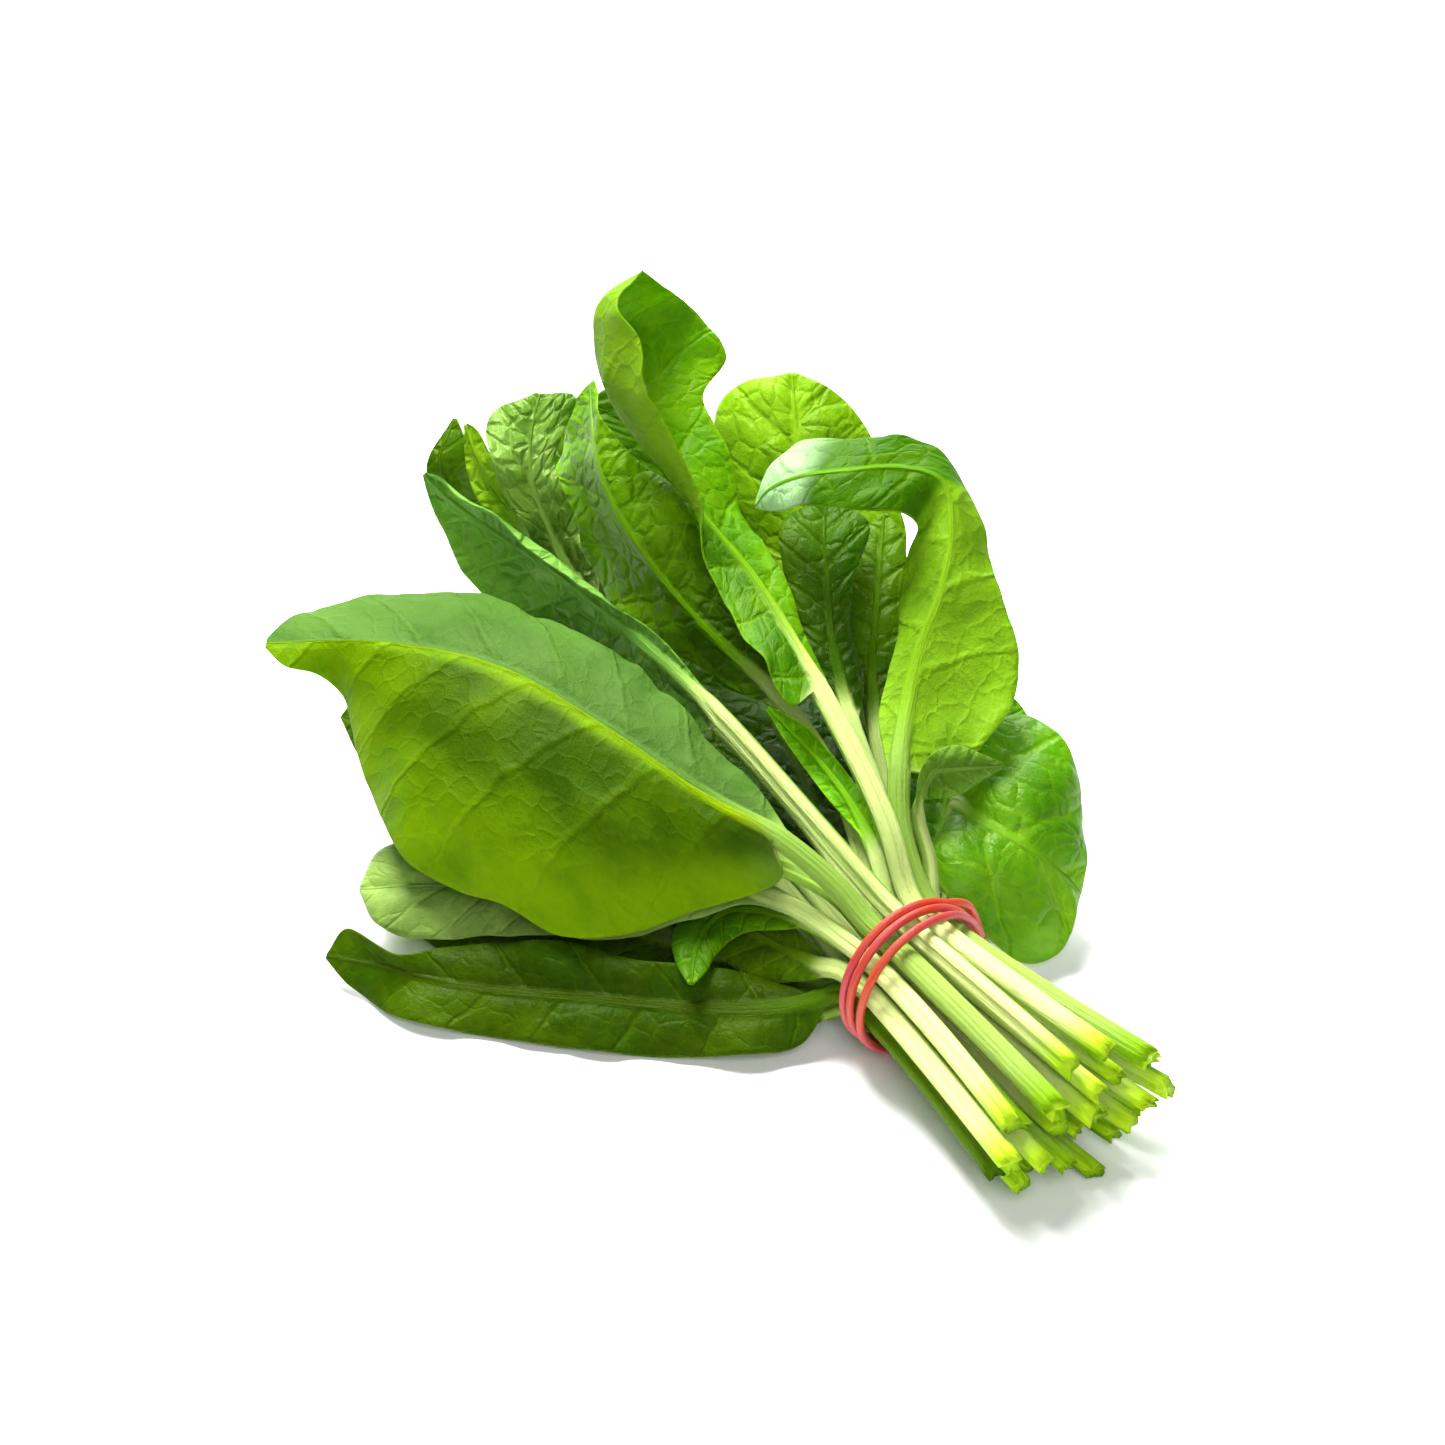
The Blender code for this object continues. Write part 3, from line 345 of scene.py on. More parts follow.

# How each leaf looks: colour kind, lightness (its own tone together with painted light and shade for
# where it lies in the bunch), size of its mesh's faces, and what is special: veins is the space between
# side veins, rib how pale and ridge how high the midrib is, shade how much painted shade darkens the
# middle of each half and right how strongly painted light tints the right half, base how much painted
# shade darkens it near its petiole, crinkle how deep its small cushions are, gloss its shine, turn where
# its end is folded over and tip how strong the painted highlight on that end is
LOOKS = {
    "front_large": ("cool", 0.57, 1.1, {
        "veins": 21, "rib": 0.1, "ridge": 0.25, "shade": (0.2, 0.8), "crinkle": 0.12,
        "right": (2.0, 1.68, 0.02), "gloss": 0.08,
    }),
    "low_left": ("deep", 0.75, 1.3, {
        "rib": 0.0, "ridge": 0.1, "stem": "dark", "veins": 20, "crinkle": 0.15, "shade": (0.0, 0.4),
        "gloss": 0.08,
    }),
    "low_grey": ("dusty", 1.9, 1.3, {"rib": 0.3, "crinkle": 0.15, "gloss": 0.3}),
    "low_dark": ("deep", 1.5, 1.4, {"rib": 0.2, "crinkle": 0.2}),
    "low_drop": ("fresh", 0.75, 1.4, {"rib": 0.3, "stem": "green", "crinkle": 0.2}),
    "floor_tip": ("deep", 1.0, 1.6, {"stem": "green"}),
    "under_front": ("olive", 0.7, 1.8, {"stem": "green"}),
    "rolled_long": ("cool", 1.15, 1.2, {
        "base": 0.8, "rib": 0.3, "veins": 18, "crinkle": 1.0, "shade": (0.12, 0.12), "gloss": 0.3,
    }),
    "rolled_tip": ("deep", 1.2, 1.4, {"rib": 0.2}),
    "yellow_fold": ("yellow", 1.0, 1.3, {"base": 0.5, "rib": 0.5, "crinkle": 0.8}),
    "crinkled": ("grey", 1.15, 1.2, {"base": 0.4, "rib": 0.2, "crinkle": 1.0, "gloss": 0.35}),
    "brown_fold": ("olive", 1.65, 1.2, {"base": 0.35, "rib": 0.0, "ridge": 0.2, "veins": 17, "crinkle": 1}),
    "tall_centre": ("fresh", 0.9, 1.1, {
        "veins": 20, "rib": 0.4, "crinkle": 0.3, "right": (1.35, 1.3, 0.8),
    }),
    "back_light": ("yellow", 1.15, 1.4, {"base": 0.5, "veins": 17, "rib": 0.3, "crinkle": 0.4}),
    "right_tall": ("fresh", 1.1, 1.1, {
        "turn": (0.56, 0.59), "tip": 0.8, "veins": 24, "rib": 0.1, "ridge": 0.4, "crinkle": 0.2,
        "shade": (0.05, 0.1), "gloss": 0.1,
    }),
    # painted shade: lightness is kept low for the shade under the fold
    "centre_dark": ("fresh", 0.45, 1.4, {"base": 0.5, "rib": 0.0, "ridge": 0.2, "crinkle": 0.4}),
    "centre_mid": ("olive", 0.8, 1.5, {"base": 0.5, "rib": 0.0, "ridge": 0.2, "crinkle": 0.3}),
    "right_small": ("grey", 1.1, 1.3, {"rib": 0.3}),
    "right_round": ("fresh", 1.35, 1.2, {"rib": 0.4, "veins": 17, "crinkle": 0.3, "gloss": 0.5}),
    "narrow_green": ("fresh", 1.9, 1.4, {"rib": 0.2}),
    "floor_front": ("deep", 1.0, 2.0, {"stem": "green"}),
    "floor_mid": ("deep", 1.0, 2.0, {"stem": "green"}),
    "floor_back": ("fresh", 0.9, 1.8, {"stem": "green"}),
    "back_right": ("fresh", 0.9, 1.8, {}),
    "under_left": ("deep", 1.2, 2.0, {"stem": "green"}),
    # painted shade: lightness is kept low for the shade deep in the bunch
    "under_back": ("fresh", 0.4, 1.6, {"base": 0.4, "rib": 0.0}),
}

# Colour kinds: upper face, lower face, veins
COLOURS = {
    "fresh": ((0.070, 0.26, 0.0005), (0.21, 0.42, 0.012), (0.26, 0.52, 0.008)),
    "deep": ((0.042, 0.098, 0.0005), (0.10, 0.20, 0.004), (0.14, 0.26, 0.003)),
    "olive": ((0.080, 0.20, 0.001), (0.14, 0.30, 0.004), (0.20, 0.42, 0.006)),
    "cool": ((0.060, 0.23, 0.008), (0.17, 0.38, 0.06), (0.22, 0.48, 0.06)),
    "yellow": ((0.19, 0.39, 0.002), (0.30, 0.54, 0.03), (0.36, 0.60, 0.03)),
    "grey": ((0.11, 0.24, 0.015), (0.22, 0.37, 0.11), (0.27, 0.46, 0.09)),
    "dusty": ((0.15, 0.23, 0.05), (0.20, 0.30, 0.10), (0.24, 0.38, 0.07)),
}
# Stems: the pale colour and the green that it turns to
STEM_COLOURS = {
    "cream": ((0.78, 0.85, 0.34), (0.50, 0.78, 0.006)),
    "green": ((0.50, 0.72, 0.12), (0.36, 0.64, 0.004)),
    "dark": ((0.10, 0.20, 0.004), (0.07, 0.16, 0.002)),
}


def unit(vectors):
    """The same directions, one long."""
    return vectors / np.maximum(np.linalg.norm(vectors, axis=-1, keepdims=True), 1e-9)


def smooth(share):
    """0 to 1, with a soft start and end."""
    share = np.clip(share, 0, 1)
    return share * share * (3 - 2 * share)


def smooth_curve(points):
    """A smooth curve through the points: its samples, its length at each, and at each point."""
    given = np.array(points, float)
    knots = np.concatenate([[0], np.cumsum(np.linalg.norm(np.diff(given, axis=0), axis=1) ** 0.5)])
    slopes = np.gradient(given, knots, axis=0)
    share = np.linspace(0, 1, CURVE_STEPS + 1)[1:, None]
    samples = [given[:1]]
    for i in range(len(given) - 1):
        span = knots[i + 1] - knots[i]
        samples.append(
            (2 * share**3 - 3 * share**2 + 1) * given[i]
            + (share**3 - 2 * share**2 + share) * span * slopes[i]
            + (3 * share**2 - 2 * share**3) * given[i + 1]
            + (share**3 - share**2) * span * slopes[i + 1]
        )
    samples = np.concatenate(samples)
    lengths = np.concatenate([[0], np.cumsum(np.linalg.norm(np.diff(samples, axis=0), axis=1))])
    return samples, lengths, lengths[::CURVE_STEPS]


def curve_at(samples, lengths, where):
    """The curve's points at the given lengths."""
    return np.stack([np.interp(where, lengths, samples[:, k]) for k in range(3)], axis=-1)


def soft_noise(x, y, seed):
    """Smooth seeded noise from -1 to 1, one cell wide per unit."""
    size = 64
    grid = np.random.default_rng(seed).uniform(-1, 1, (size, size))
    left, low = np.floor(x).astype(int), np.floor(y).astype(int)
    a, b = smooth(x - left), smooth(y - low)
    left, low = left % size, low % size
    right, high = (left + 1) % size, (low + 1) % size
    near = grid[left, low] * (1 - a) + grid[right, low] * a
    far = grid[left, high] * (1 - a) + grid[right, high] * a
    return near * (1 - b) + far * b


def bundle_points(place, count):
    """The four points that lead a stem from its cut end through the band."""
    ring, number = place
    total, radius, start = RINGS[ring]
    angle = math.radians(start + 360 / total * number)
    y = radius * math.cos(angle)
    z = radius * math.sin(angle)
    return [
        (63 + 5 * math.sin(2.4 * count + 1), 1.75 * y + 3, 16.5 + 0.9 * z),
        (28, 1.25 * y + 0.8, BUNDLE_HEIGHT - 1.2 + 0.97 * z),
        (2, y, BUNDLE_HEIGHT + z),
        (-9, 1.03 * y, BUNDLE_HEIGHT + 0.4 + 1.03 * z),
    ]


def leaf_frame(spec, count, step):
    """Stations along the leaf: middle points, directions, stem radius and the blade's share."""
    petiole = bundle_points(spec["place"], count) + spec["petiole"]
    samples, lengths, marks = smooth_curve(petiole + spec["mid"])
    base = marks[len(petiole)]
    total = lengths[-1]
    first = max(8, int(base / 3.2))
    blade = max(24, int((total - base) / step))
    even = np.linspace(0, 1, blade + 1)
    even = even + 0.08 * np.sin(np.pi * even) * (even - 0.2)
    start = np.linspace(0, base, first, endpoint=False)
    where = np.concatenate([start, base + (total - base) * even])
    reach = 0.8
    ahead = curve_at(samples, lengths, np.minimum(where + reach, total))
    behind = curve_at(samples, lengths, np.maximum(where - reach, 0))
    knee = base + (total - base) * 0.35
    radius = spec["stem"] * np.interp(where, [0, base, knee, total], [1.0, 0.9, 0.42, 0.1])
    return {
        "mid": curve_at(samples, lengths, where), "along": unit(ahead - behind),
        "radius": radius, "share": np.clip((where - base) / (total - base), 0, 1),
        "first": first, "where": where, "base": base, "total": total,
    }


def across(spec, end, along):
    """The direction from the left edge to the right one, square to the middle line."""
    wide = np.array(spec["right"][end], float) - np.array(spec["left"][end], float)
    return unit(wide - (wide @ along) * along)


def leaf_edges(spec, frame):
    """The left and right edge at each station, and the direction across the petiole."""
    mid, along, radius, first = frame["mid"], frame["along"], frame["radius"], frame["first"]
    base_side = across(spec, 0, along[first])
    tip_side = across(spec, -1, along[-1])
    sides = np.zeros_like(mid)
    side = base_side
    for i in range(first, -1, -1):
        side = unit(side - (side @ along[i]) * along[i])
        sides[i] = side
    edges = {}
    for sign, key in ((-1, "left"), (1, "right")):
        start = mid[first] + sign * 0.9 * spec["stem"] * base_side
        end = mid[-1] + sign * spec["tip"] * tip_side
        samples, lengths, _ = smooth_curve([start, *spec[key], end])
        edge = curve_at(samples, lengths, frame["share"] * lengths[-1])
        edge[:first] = (mid + sign * radius[:, None] * sides)[:first]
        edges[sign] = edge
    return edges, sides


def half_blade(spec, frame, edge, sign, columns, seed):
    """One half: how far out each column is, which way, and how far it is lifted."""
    share, radius, where = frame["share"], frame["radius"], frame["where"]
    chord = edge - frame["mid"]
    width = np.maximum(np.linalg.norm(chord, axis=1), radius)
    wander = 1 + 0.02 * soft_noise(where / 11, where * 0 + sign * 5, seed) * smooth(share / 0.3)
    width = np.maximum(width * wander, radius)
    out = unit(chord)
    up = unit(np.cross(frame["along"], out)) * -sign
    step = np.linspace(0, 1, columns + 1)
    rounded = 1 - (1 - step) ** 2.4
    spread = np.clip((step - 0.12) / 0.88, 0, 1) ** 1.1
    outward = radius[:, None] * rounded + (width - radius)[:, None] * spread
    part = np.clip(outward / width[:, None], 0, 1)
    bows = [pair[0 if sign < 0 else 1] for pair in spec["bow"]]
    bow = np.interp(share, np.linspace(0, 1, len(bows)), bows) * width * smooth(share / 0.15)
    height, waves, start = spec["ruffle"]
    fade = np.clip(share / 0.15, 0, 1) * np.clip((1 - share) / 0.12, 0, 1)
    turn = 2 * np.pi * (waves * share + start + 0.31 * sign)
    wave = height * fade * np.sin(turn)
    lift = bow[:, None] * 4 * part * (1 - part) + wave[:, None] * part**2
    return {"out": out, "up": up, "outward": outward, "width": width, "lift": lift, "part": part}


def vein_number(frame, half, sign, spacing):
    """Counts the side veins: a whole number lies on a vein, which leans toward the tip."""
    outward = half["outward"]
    along = frame["where"][:, None] - frame["base"]
    lean = 0.75 * outward - 0.0045 * outward**2
    return (along - lean) / spacing + 0.25 * sign


def puckers(frame, half, number, sign, seed, size):
    """The small relief: cushions between the side veins, finer dents, and waves at the edge."""
    part, outward = half["part"], half["outward"]
    share = frame["share"][:, None]
    along = frame["where"][:, None] * np.ones_like(outward)
    inside = smooth(share / 0.12) * smooth((1 - share) / 0.1)
    reach = np.clip((half["width"][:, None] - frame["radius"][:, None]) / 14, 0, 1)
    cushion = 0.5 - 0.5 * np.cos(2 * np.pi * number)
    cushion = (cushion**0.7 - 0.5) * np.sin(np.pi * np.clip(part, 0, 1) ** 0.8)
    dents = 0
    for place, (height, length, width, draw) in enumerate(DENTS, 1):
        across_leaf = sign * outward / width + 20 * place
        dents = dents + height * soft_noise(along / length, across_leaf, seed + draw)
    phase = 2.2 * soft_noise(along / 19, along * 0 + 3 * sign, seed + 3)
    edge = part**3 * np.sin(2 * np.pi * along / 24 + phase + 1.3 * sign)
    edge = edge + EDGE_RUFFLE * part**5 * np.sin(2 * np.pi * along / 9 + 2 * phase)
    relief = CUSHION_HEIGHT * cushion + dents * part**0.5 + EDGE_WAVE * edge
    return size * inside * reach * relief


def leaf_sheet(spec, count, step, columns, size, spacing):
    """The leaf's middle surface, with what the material needs to know at each point."""
    frame = leaf_frame(spec, count, step)
    edges, sides = leaf_edges(spec, frame)
    seed = 100 + 10 * count
    halves = {s: half_blade(spec, frame, edges[s], s, columns, seed) for s in (-1, 1)}
    narrow = np.minimum(halves[-1]["width"], halves[1]["width"])
    spacing = spacing or max(7.0, min(15.0, (frame["total"] - frame["base"]) / 7))
    soft = np.minimum(2.2 * frame["radius"] + 1.2, 0.8 * narrow)[:, None]
    both = halves[-1]["out"] + halves[1]["out"]
    for sign, half in halves.items():
        share = np.clip(half["outward"] / soft, 0, 1)
        inward = ((1 - share) ** 2 * soft / 4)[..., None] * both[:, None]
        outward = half["out"][:, None] * half["outward"][..., None]
        half["number"] = vein_number(frame, half, sign, spacing)
        relief = puckers(frame, half, half["number"], sign, seed, size)
        lift = half["up"][:, None] * ((half["lift"] + relief) * share)[..., None]
        half["points"] = frame["mid"][:, None] + outward + inward + lift
    joined = {
        key: np.concatenate([halves[-1][key][:, ::-1], halves[1][key][:, 1:]], axis=1)
        for key in ("points", "outward", "number", "part")
    }
    signs = np.concatenate([-np.ones(columns), [0], np.ones(columns)])
    joined["side"] = joined["outward"] * signs
    joined["normals"] = sheet_normals(joined["points"], frame, sides)
    return joined, frame, spacing


def sheet_normals(points, frame, sides):
    """The sheet's normals, and square to the stem in the petiole."""
    normals = unit(np.cross(np.gradient(points, axis=1), np.gradient(points, axis=0)))
    for _ in range(2):
        normals[1:-1] = unit(normals[:-2] + 2 * normals[1:-1] + normals[2:])
    normals[-2] = unit(normals[-3] + 0.3 * normals[-2])
    normals[-1] = normals[-2]
    first = frame["first"]
    stem = unit(np.cross(sides, frame["along"]))
    normals[:first + 1] = stem[:first + 1, None]
    for i in range(1, 4):
        mix = i / 4
        row = first + i
        normals[row] = unit(stem[first] * (1 - mix) + normals[row] * mix)
    return normals


def leaf_sections(spec, count, step, columns, size, spacing, ridge):
    """A closed section at each station, and the values that its material reads."""
    sheet, frame, spacing = leaf_sheet(spec, count, step, columns, size, spacing)
    points, normals = sheet["points"], sheet["normals"]
    share, radius = frame["share"], frame["radius"]
    turn = np.clip(sheet["outward"] / radius[:, None], 0, 1)
    round_part = np.sqrt(1 - turn**2)
    above = np.interp(share, [0, 0.08, 0.3, 1], [0.8, 0.55, 0.12, 0.1])[:, None]
    below = np.interp(share, [0, 0.1, 1], [0.95, 0.9, 0.8])[:, None]
    half = BLADE_THICKNESS / 2 * np.interp(share, [0, 0.85, 1], [1, 1, 0.75])[:, None]
    rib = np.maximum(radius - BLADE_THICKNESS / 2, 0.1)[:, None] * round_part
    rib = rib * (1 - (1 - ridge) * smooth(share / 0.2))[:, None]
    signed = sheet["side"] / radius[:, None]
    ridges = 0.045 * np.cos(13 * np.arcsin(np.clip(signed, -1, 1)) + count)
    stem = 1 - smooth(share / 0.2)[:, None]
    channel = 0.30 * np.exp(-((signed / 0.32) ** 2)) * stem
    upper = points + (half + above * rib * (1 - channel + ridges * stem))[..., None] * normals
    lower = points - (half + below * rib * (1 + ridges * stem))[..., None] * normals
    rims = []
    for edge, near in ((-1, -2), (0, 1)):
        away = unit(points[:, edge] - points[:, near])
        rims.append((points[:, edge] + 0.7 * half * away)[:, None])
    loop = np.concatenate([upper, rims[0], lower[:, ::-1], rims[1]], axis=1)
    values = leaf_values(sheet, frame, spacing)
    return ragged_end(loop, frame, count), values, frame


def leaf_values(sheet, frame, spacing):
    """Three vectors a point: place on the leaf, kind of surface, and rib."""
    ones = np.ones_like(sheet["outward"])
    along = frame["where"][:, None] * ones
    share = frame["share"][:, None] * ones
    place = np.stack([sheet["side"], along, sheet["number"]], axis=-1)
    blade = smooth((sheet["outward"] / frame["radius"][:, None] - 0.75) / 0.6)
    blade = blade * smooth(share / 0.05)
    rib = np.stack([sheet["outward"] / frame["radius"][:, None], share, spacing * ones], axis=-1)
    above, below = (np.stack([under * ones, blade, sheet["part"]], axis=-1) for under in (0.0, 1.0))
    found = {}
    for key, upper, lower in (
        ("leaf_place", place, place), ("leaf_kind", above, below), ("leaf_rib", rib, rib),
    ):
        right, left = (upper[:, -1:] + lower[:, -1:]) / 2, (upper[:, :1] + lower[:, :1]) / 2
        found[key] = np.concatenate([upper, right, lower[:, ::-1], left], axis=1)
    return found


def ragged_end(loop, frame, count):
    """The cut end of the stem, torn a little."""
    angle = np.linspace(0, 2 * np.pi, loop.shape[1], endpoint=False)
    tear = 1.5 * soft_noise(angle * 2.2, angle * 0 + count, 7) + 0.6 * np.cos(angle + count)
    loop = loop.copy()
    loop[0] += tear[:, None] * -frame["along"][0]
    return loop


def section_faces(stations, columns, ring=False):
    """Four-sided faces between closed sections, and in a ring from the last to the first too."""
    i, j = np.meshgrid(np.arange(stations - (not ring)), np.arange(columns), indexing="ij")
    here, after, k = i * columns, (i + 1) % stations * columns, (j + 1) % columns
    return np.stack([here + j, after + j, after + k, here + k], -1).reshape(-1, 4).tolist()


def new_piece(name, points, faces, material):
    """A smooth mesh object from points in millimetres."""
    mesh = bpy.data.meshes.new(name)
    mesh.from_pydata((np.asarray(points) * MM).tolist(), [], faces)
    mesh.polygons.foreach_set("use_smooth", np.ones(len(mesh.polygons), bool))
    mesh.materials.append(material)
    mesh.update()
    piece = bpy.data.objects.new(name, mesh)
    bpy.context.scene.collection.objects.link(piece)
    return piece


def store(mesh, name, values):
    """A vector at each point, for the material."""
    attribute = mesh.attributes.new(name, "FLOAT_VECTOR", "POINT")
    attribute.data.foreach_set("vector", np.asarray(values, np.float32).ravel())


def leaf_piece(spec, count):
    """One leaf with its petiole, in place of its solid."""
    kind, light, step, more = LOOKS[spec["name"]]
    widest = max(np.linalg.norm(np.subtract(a, b)) for a, b in zip(spec["left"], spec["right"]))
    columns = int(np.clip(widest / 2 / step, 12, 34))
    size = 1.0 if widest > 24 else 0.6
    loop, values, frame = leaf_sections(
        spec, count, step, columns, size, more.get("veins"), more.get("ridge", 0.6),
    )
    stations, around = loop.shape[:2]
    points = loop.reshape(-1, 3)
    faces = section_faces(stations, around)
    start = len(points)
    heart = loop[0].mean(axis=0) + 0.35 * frame["along"][0]
    points = np.concatenate([points, heart[None], loop[-1].mean(axis=0)[None]])
    points[:, 2] = np.maximum(points[:, 2], LOWEST)
    faces += [[start, j, (j + 1) % around] for j in range(around)]
    last = (stations - 1) * around
    faces += [[start + 1, last + (j + 1) % around, last + j] for j in range(around)]
    corners = np.array([face[:3] for face in faces])
    a, b, c = points[corners[:, 0]], points[corners[:, 1]], points[corners[:, 2]]
    if np.einsum("ij,ij->i", a, np.cross(b, c)).sum() < 0:
        faces = [face[::-1] for face in faces]
    material = leaf_material(spec["name"], kind, light, more)
    piece = new_piece("leaf_" + spec["name"], points, faces, material)
    for key, value in values.items():
        flat = value.reshape(-1, 3)
        store(piece.data, key, np.concatenate([flat, flat[:1], flat[-1:]]))
    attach(piece, "root")
    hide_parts(spec["name"])
    return piece


class Nodes:
    """Adds nodes to a tree in few words. Each method gives back an output socket."""

    def __init__(self, tree):
        self.tree = tree

    def add(self, kind, settings=None, inputs=None, output=0):
        node = self.tree.nodes.new(kind)
        for key, value in (settings or {}).items():
            setattr(node, key, value)
        for key, value in (inputs or {}).items():
            self.feed(node.inputs[key], value)
        return node.outputs[output]

    def feed(self, socket, value):
        if isinstance(value, bpy.types.NodeSocket):
            self.tree.links.new(value, socket)
        elif isinstance(value, tuple) and len(value) == 3 and socket.type == "RGBA":
            socket.default_value = (*value, 1.0)
        else:
            socket.default_value = value

    def math(self, operation, a, b=0.0, c=0.0, clamp=False):
        settings = {"operation": operation, "use_clamp": clamp}
        return self.add("ShaderNodeMath", settings, {0: a, 1: b, 2: c})

    def times(self, a, b):
        return self.math("MULTIPLY", a, b)

    def scaled(self, a, b, c):
        """a times b, plus c."""
        return self.math("MULTIPLY_ADD", a, b, c)

    def ramp(self, value, low, high, start=0.0, end=1.0):
        """value from low to high, softly, as start to end."""
        settings = {"interpolation_type": "SMOOTHSTEP"}
        inputs = {0: value, 1: low, 2: high, 3: start, 4: end}
        return self.add("ShaderNodeMapRange", settings, inputs)

    def mix(self, share, a, b, blend="MIX"):
        # of the node's sockets, 6, 7 and the output 2 are those for colours
        settings = {"data_type": "RGBA", "blend_type": blend}
        return self.add("ShaderNodeMix", settings, {0: share, 6: a, 7: b}, 2)

    def tint(self, colour, other):
        return self.mix(1.0, colour, other, "MULTIPLY")

    def split(self, name):
        vector = self.add("ShaderNodeAttribute", {"attribute_name": name}, output=1)
        node = self.tree.nodes.new("ShaderNodeSeparateXYZ")
        self.tree.links.new(vector, node.inputs[0])
        return node.outputs[0], node.outputs[1], node.outputs[2]

    def join(self, x, y, z):
        return self.add("ShaderNodeCombineXYZ", None, {0: x, 1: y, 2: z})

    def noise(self, vector, scale, detail=2.0, rough=0.5):
        inputs = {"Vector": vector, "Scale": scale, "Detail": detail, "Roughness": rough}
        return self.add("ShaderNodeTexNoise", None, inputs)

    def cells(self, vector, scale):
        """How far a point is from the border of its cell."""
        settings = {"feature": "DISTANCE_TO_EDGE"}
        return self.add("ShaderNodeTexVoronoi", settings, {"Vector": vector, "Scale": scale})


def leaf_place(n, given):
    """Where a point is on its leaf, from the vectors that the mesh holds, and the noises there."""
    v = SimpleNamespace()
    v.side, v.along, v.number = n.split("leaf_place")
    below, v.blade, v.part = n.split("leaf_kind")
    _, v.share, v.spacing = n.split("leaf_rib")
    # a leaf whose end is folded over shows its other face there
    v.turned = n.ramp(v.share, given["Turn Start"], given["Turn End"])
    v.under = n.math("ABSOLUTE", n.math("SUBTRACT", below, v.turned))
    v.seed = n.times(given["Seed"], SEED_STEP)
    v.place = n.join(v.side, v.along, v.seed)
    v.broad = n.noise(v.place, 0.045, 3.0, 0.6)
    v.small = n.noise(v.place, 0.35, 3.0, 0.6)
    # streaks along the stem
    v.streak = n.noise(n.join(v.side, n.times(v.along, 0.05), v.under), 1.6, 3.0, 0.65)
    return v


def add_veins(n, v):
    """The side veins, and the net of small veins in two sizes."""
    bend = n.math("SUBTRACT", n.noise(v.place, 0.12), 0.5)
    # a side vein lies at each whole number, and is thinner toward the edge
    away = n.times(n.math("PINGPONG", n.scaled(bend, 0.22, v.number), 0.5), v.spacing)
    v.away = n.math("DIVIDE", away, n.ramp(v.part, 0.0, 1.0, 0.75, 0.3))
    vein = n.times(n.ramp(v.away, 0.35, 1.3, 1.0, 0.0), n.ramp(v.part, 0.8, 0.98, 1.0, 0.15))
    v.vein = n.times(vein, v.blade)
    bent = n.join(n.scaled(bend, 6.0, v.side), n.scaled(v.small, 2.4, v.along), v.seed)
    v.coarse = n.cells(bent, 0.17)
    v.net = n.times(n.ramp(v.coarse, 0.0, 0.1, 1.0, 0.0), v.blade)
    v.mesh = n.times(n.ramp(n.cells(v.place, 0.45), 0.0, 0.12, 1.0, 0.0), v.blade)


def blade_colour(n, v, given):
    """The blade: patches and veins, with painted shade where the leaf is deep in the bunch and where its
    halves are cupped.
    """
    v.face = n.mix(v.under, given["Upper"], given["Lower"])
    colour = n.mix(n.ramp(v.broad, 0.45, 0.72, 0.0, 0.45), v.face, given["Vein"])
    colour = n.mix(n.ramp(v.broad, 0.28, 0.52, 0.6, 0.0), colour, DARK_PATCH)
    colour = n.mix(n.ramp(v.small, 0.4, 0.75, 0.0, 0.22), colour, given["Vein"])
    for pattern, share in ((v.vein, 0.34), (v.net, 0.12), (v.mesh, 0.06)):
        colour = n.mix(n.times(pattern, share), colour, given["Vein"])
    # the folded-over end is darker: its upper face's own deeper green, with painted shade
    colour = n.mix(n.times(v.turned, 0.75), colour, n.tint(colour, TURNED_FACE_SHADE_TINT))
    # painted highlight: the folded-over end is painted pale for the sheen on its bent face
    tip = n.times(n.ramp(v.share, 0.80, 0.87), given["Tip Highlight"])
    colour = n.mix(tip, colour, TIP_HIGHLIGHT)
    # painted shade: a leaf that grows out of the middle of the bunch is darker toward its base, where the
    # other leaves shade it
    base_shade = n.ramp(v.share, 0.08, 0.62, given["Base Shade Level"], 1.0)
    colour = n.tint(colour, n.join(base_shade, base_shade, base_shade))
    # painted shade in the cupped middle of each half
    colour = n.mix(cup_shade(n, v, given), colour, n.tint(given["Upper"], CUP_SHADE_TINT))
    return n.mix(n.ramp(v.part, 0.965, 1.0, 0.0, 0.35), colour, given["Vein"])


def cup_shade(n, v, given):
    """How much painted shade darkens each half toward its middle, where it is cupped."""
    half = n.ramp(v.side, -1.0, 1.0, given["Shade Left"], given["Shade Right"])
    cup = n.times(n.ramp(v.part, 0.02, 0.1), n.ramp(v.part, 0.4, 0.85, 1.0, 0.0))
    cup = n.times(cup, n.times(half, n.ramp(v.share, 0.95, 0.6)))
    return n.times(cup, n.ramp(n.noise(v.place, 0.07), 0.3, 0.62, 0.72, 1.0))


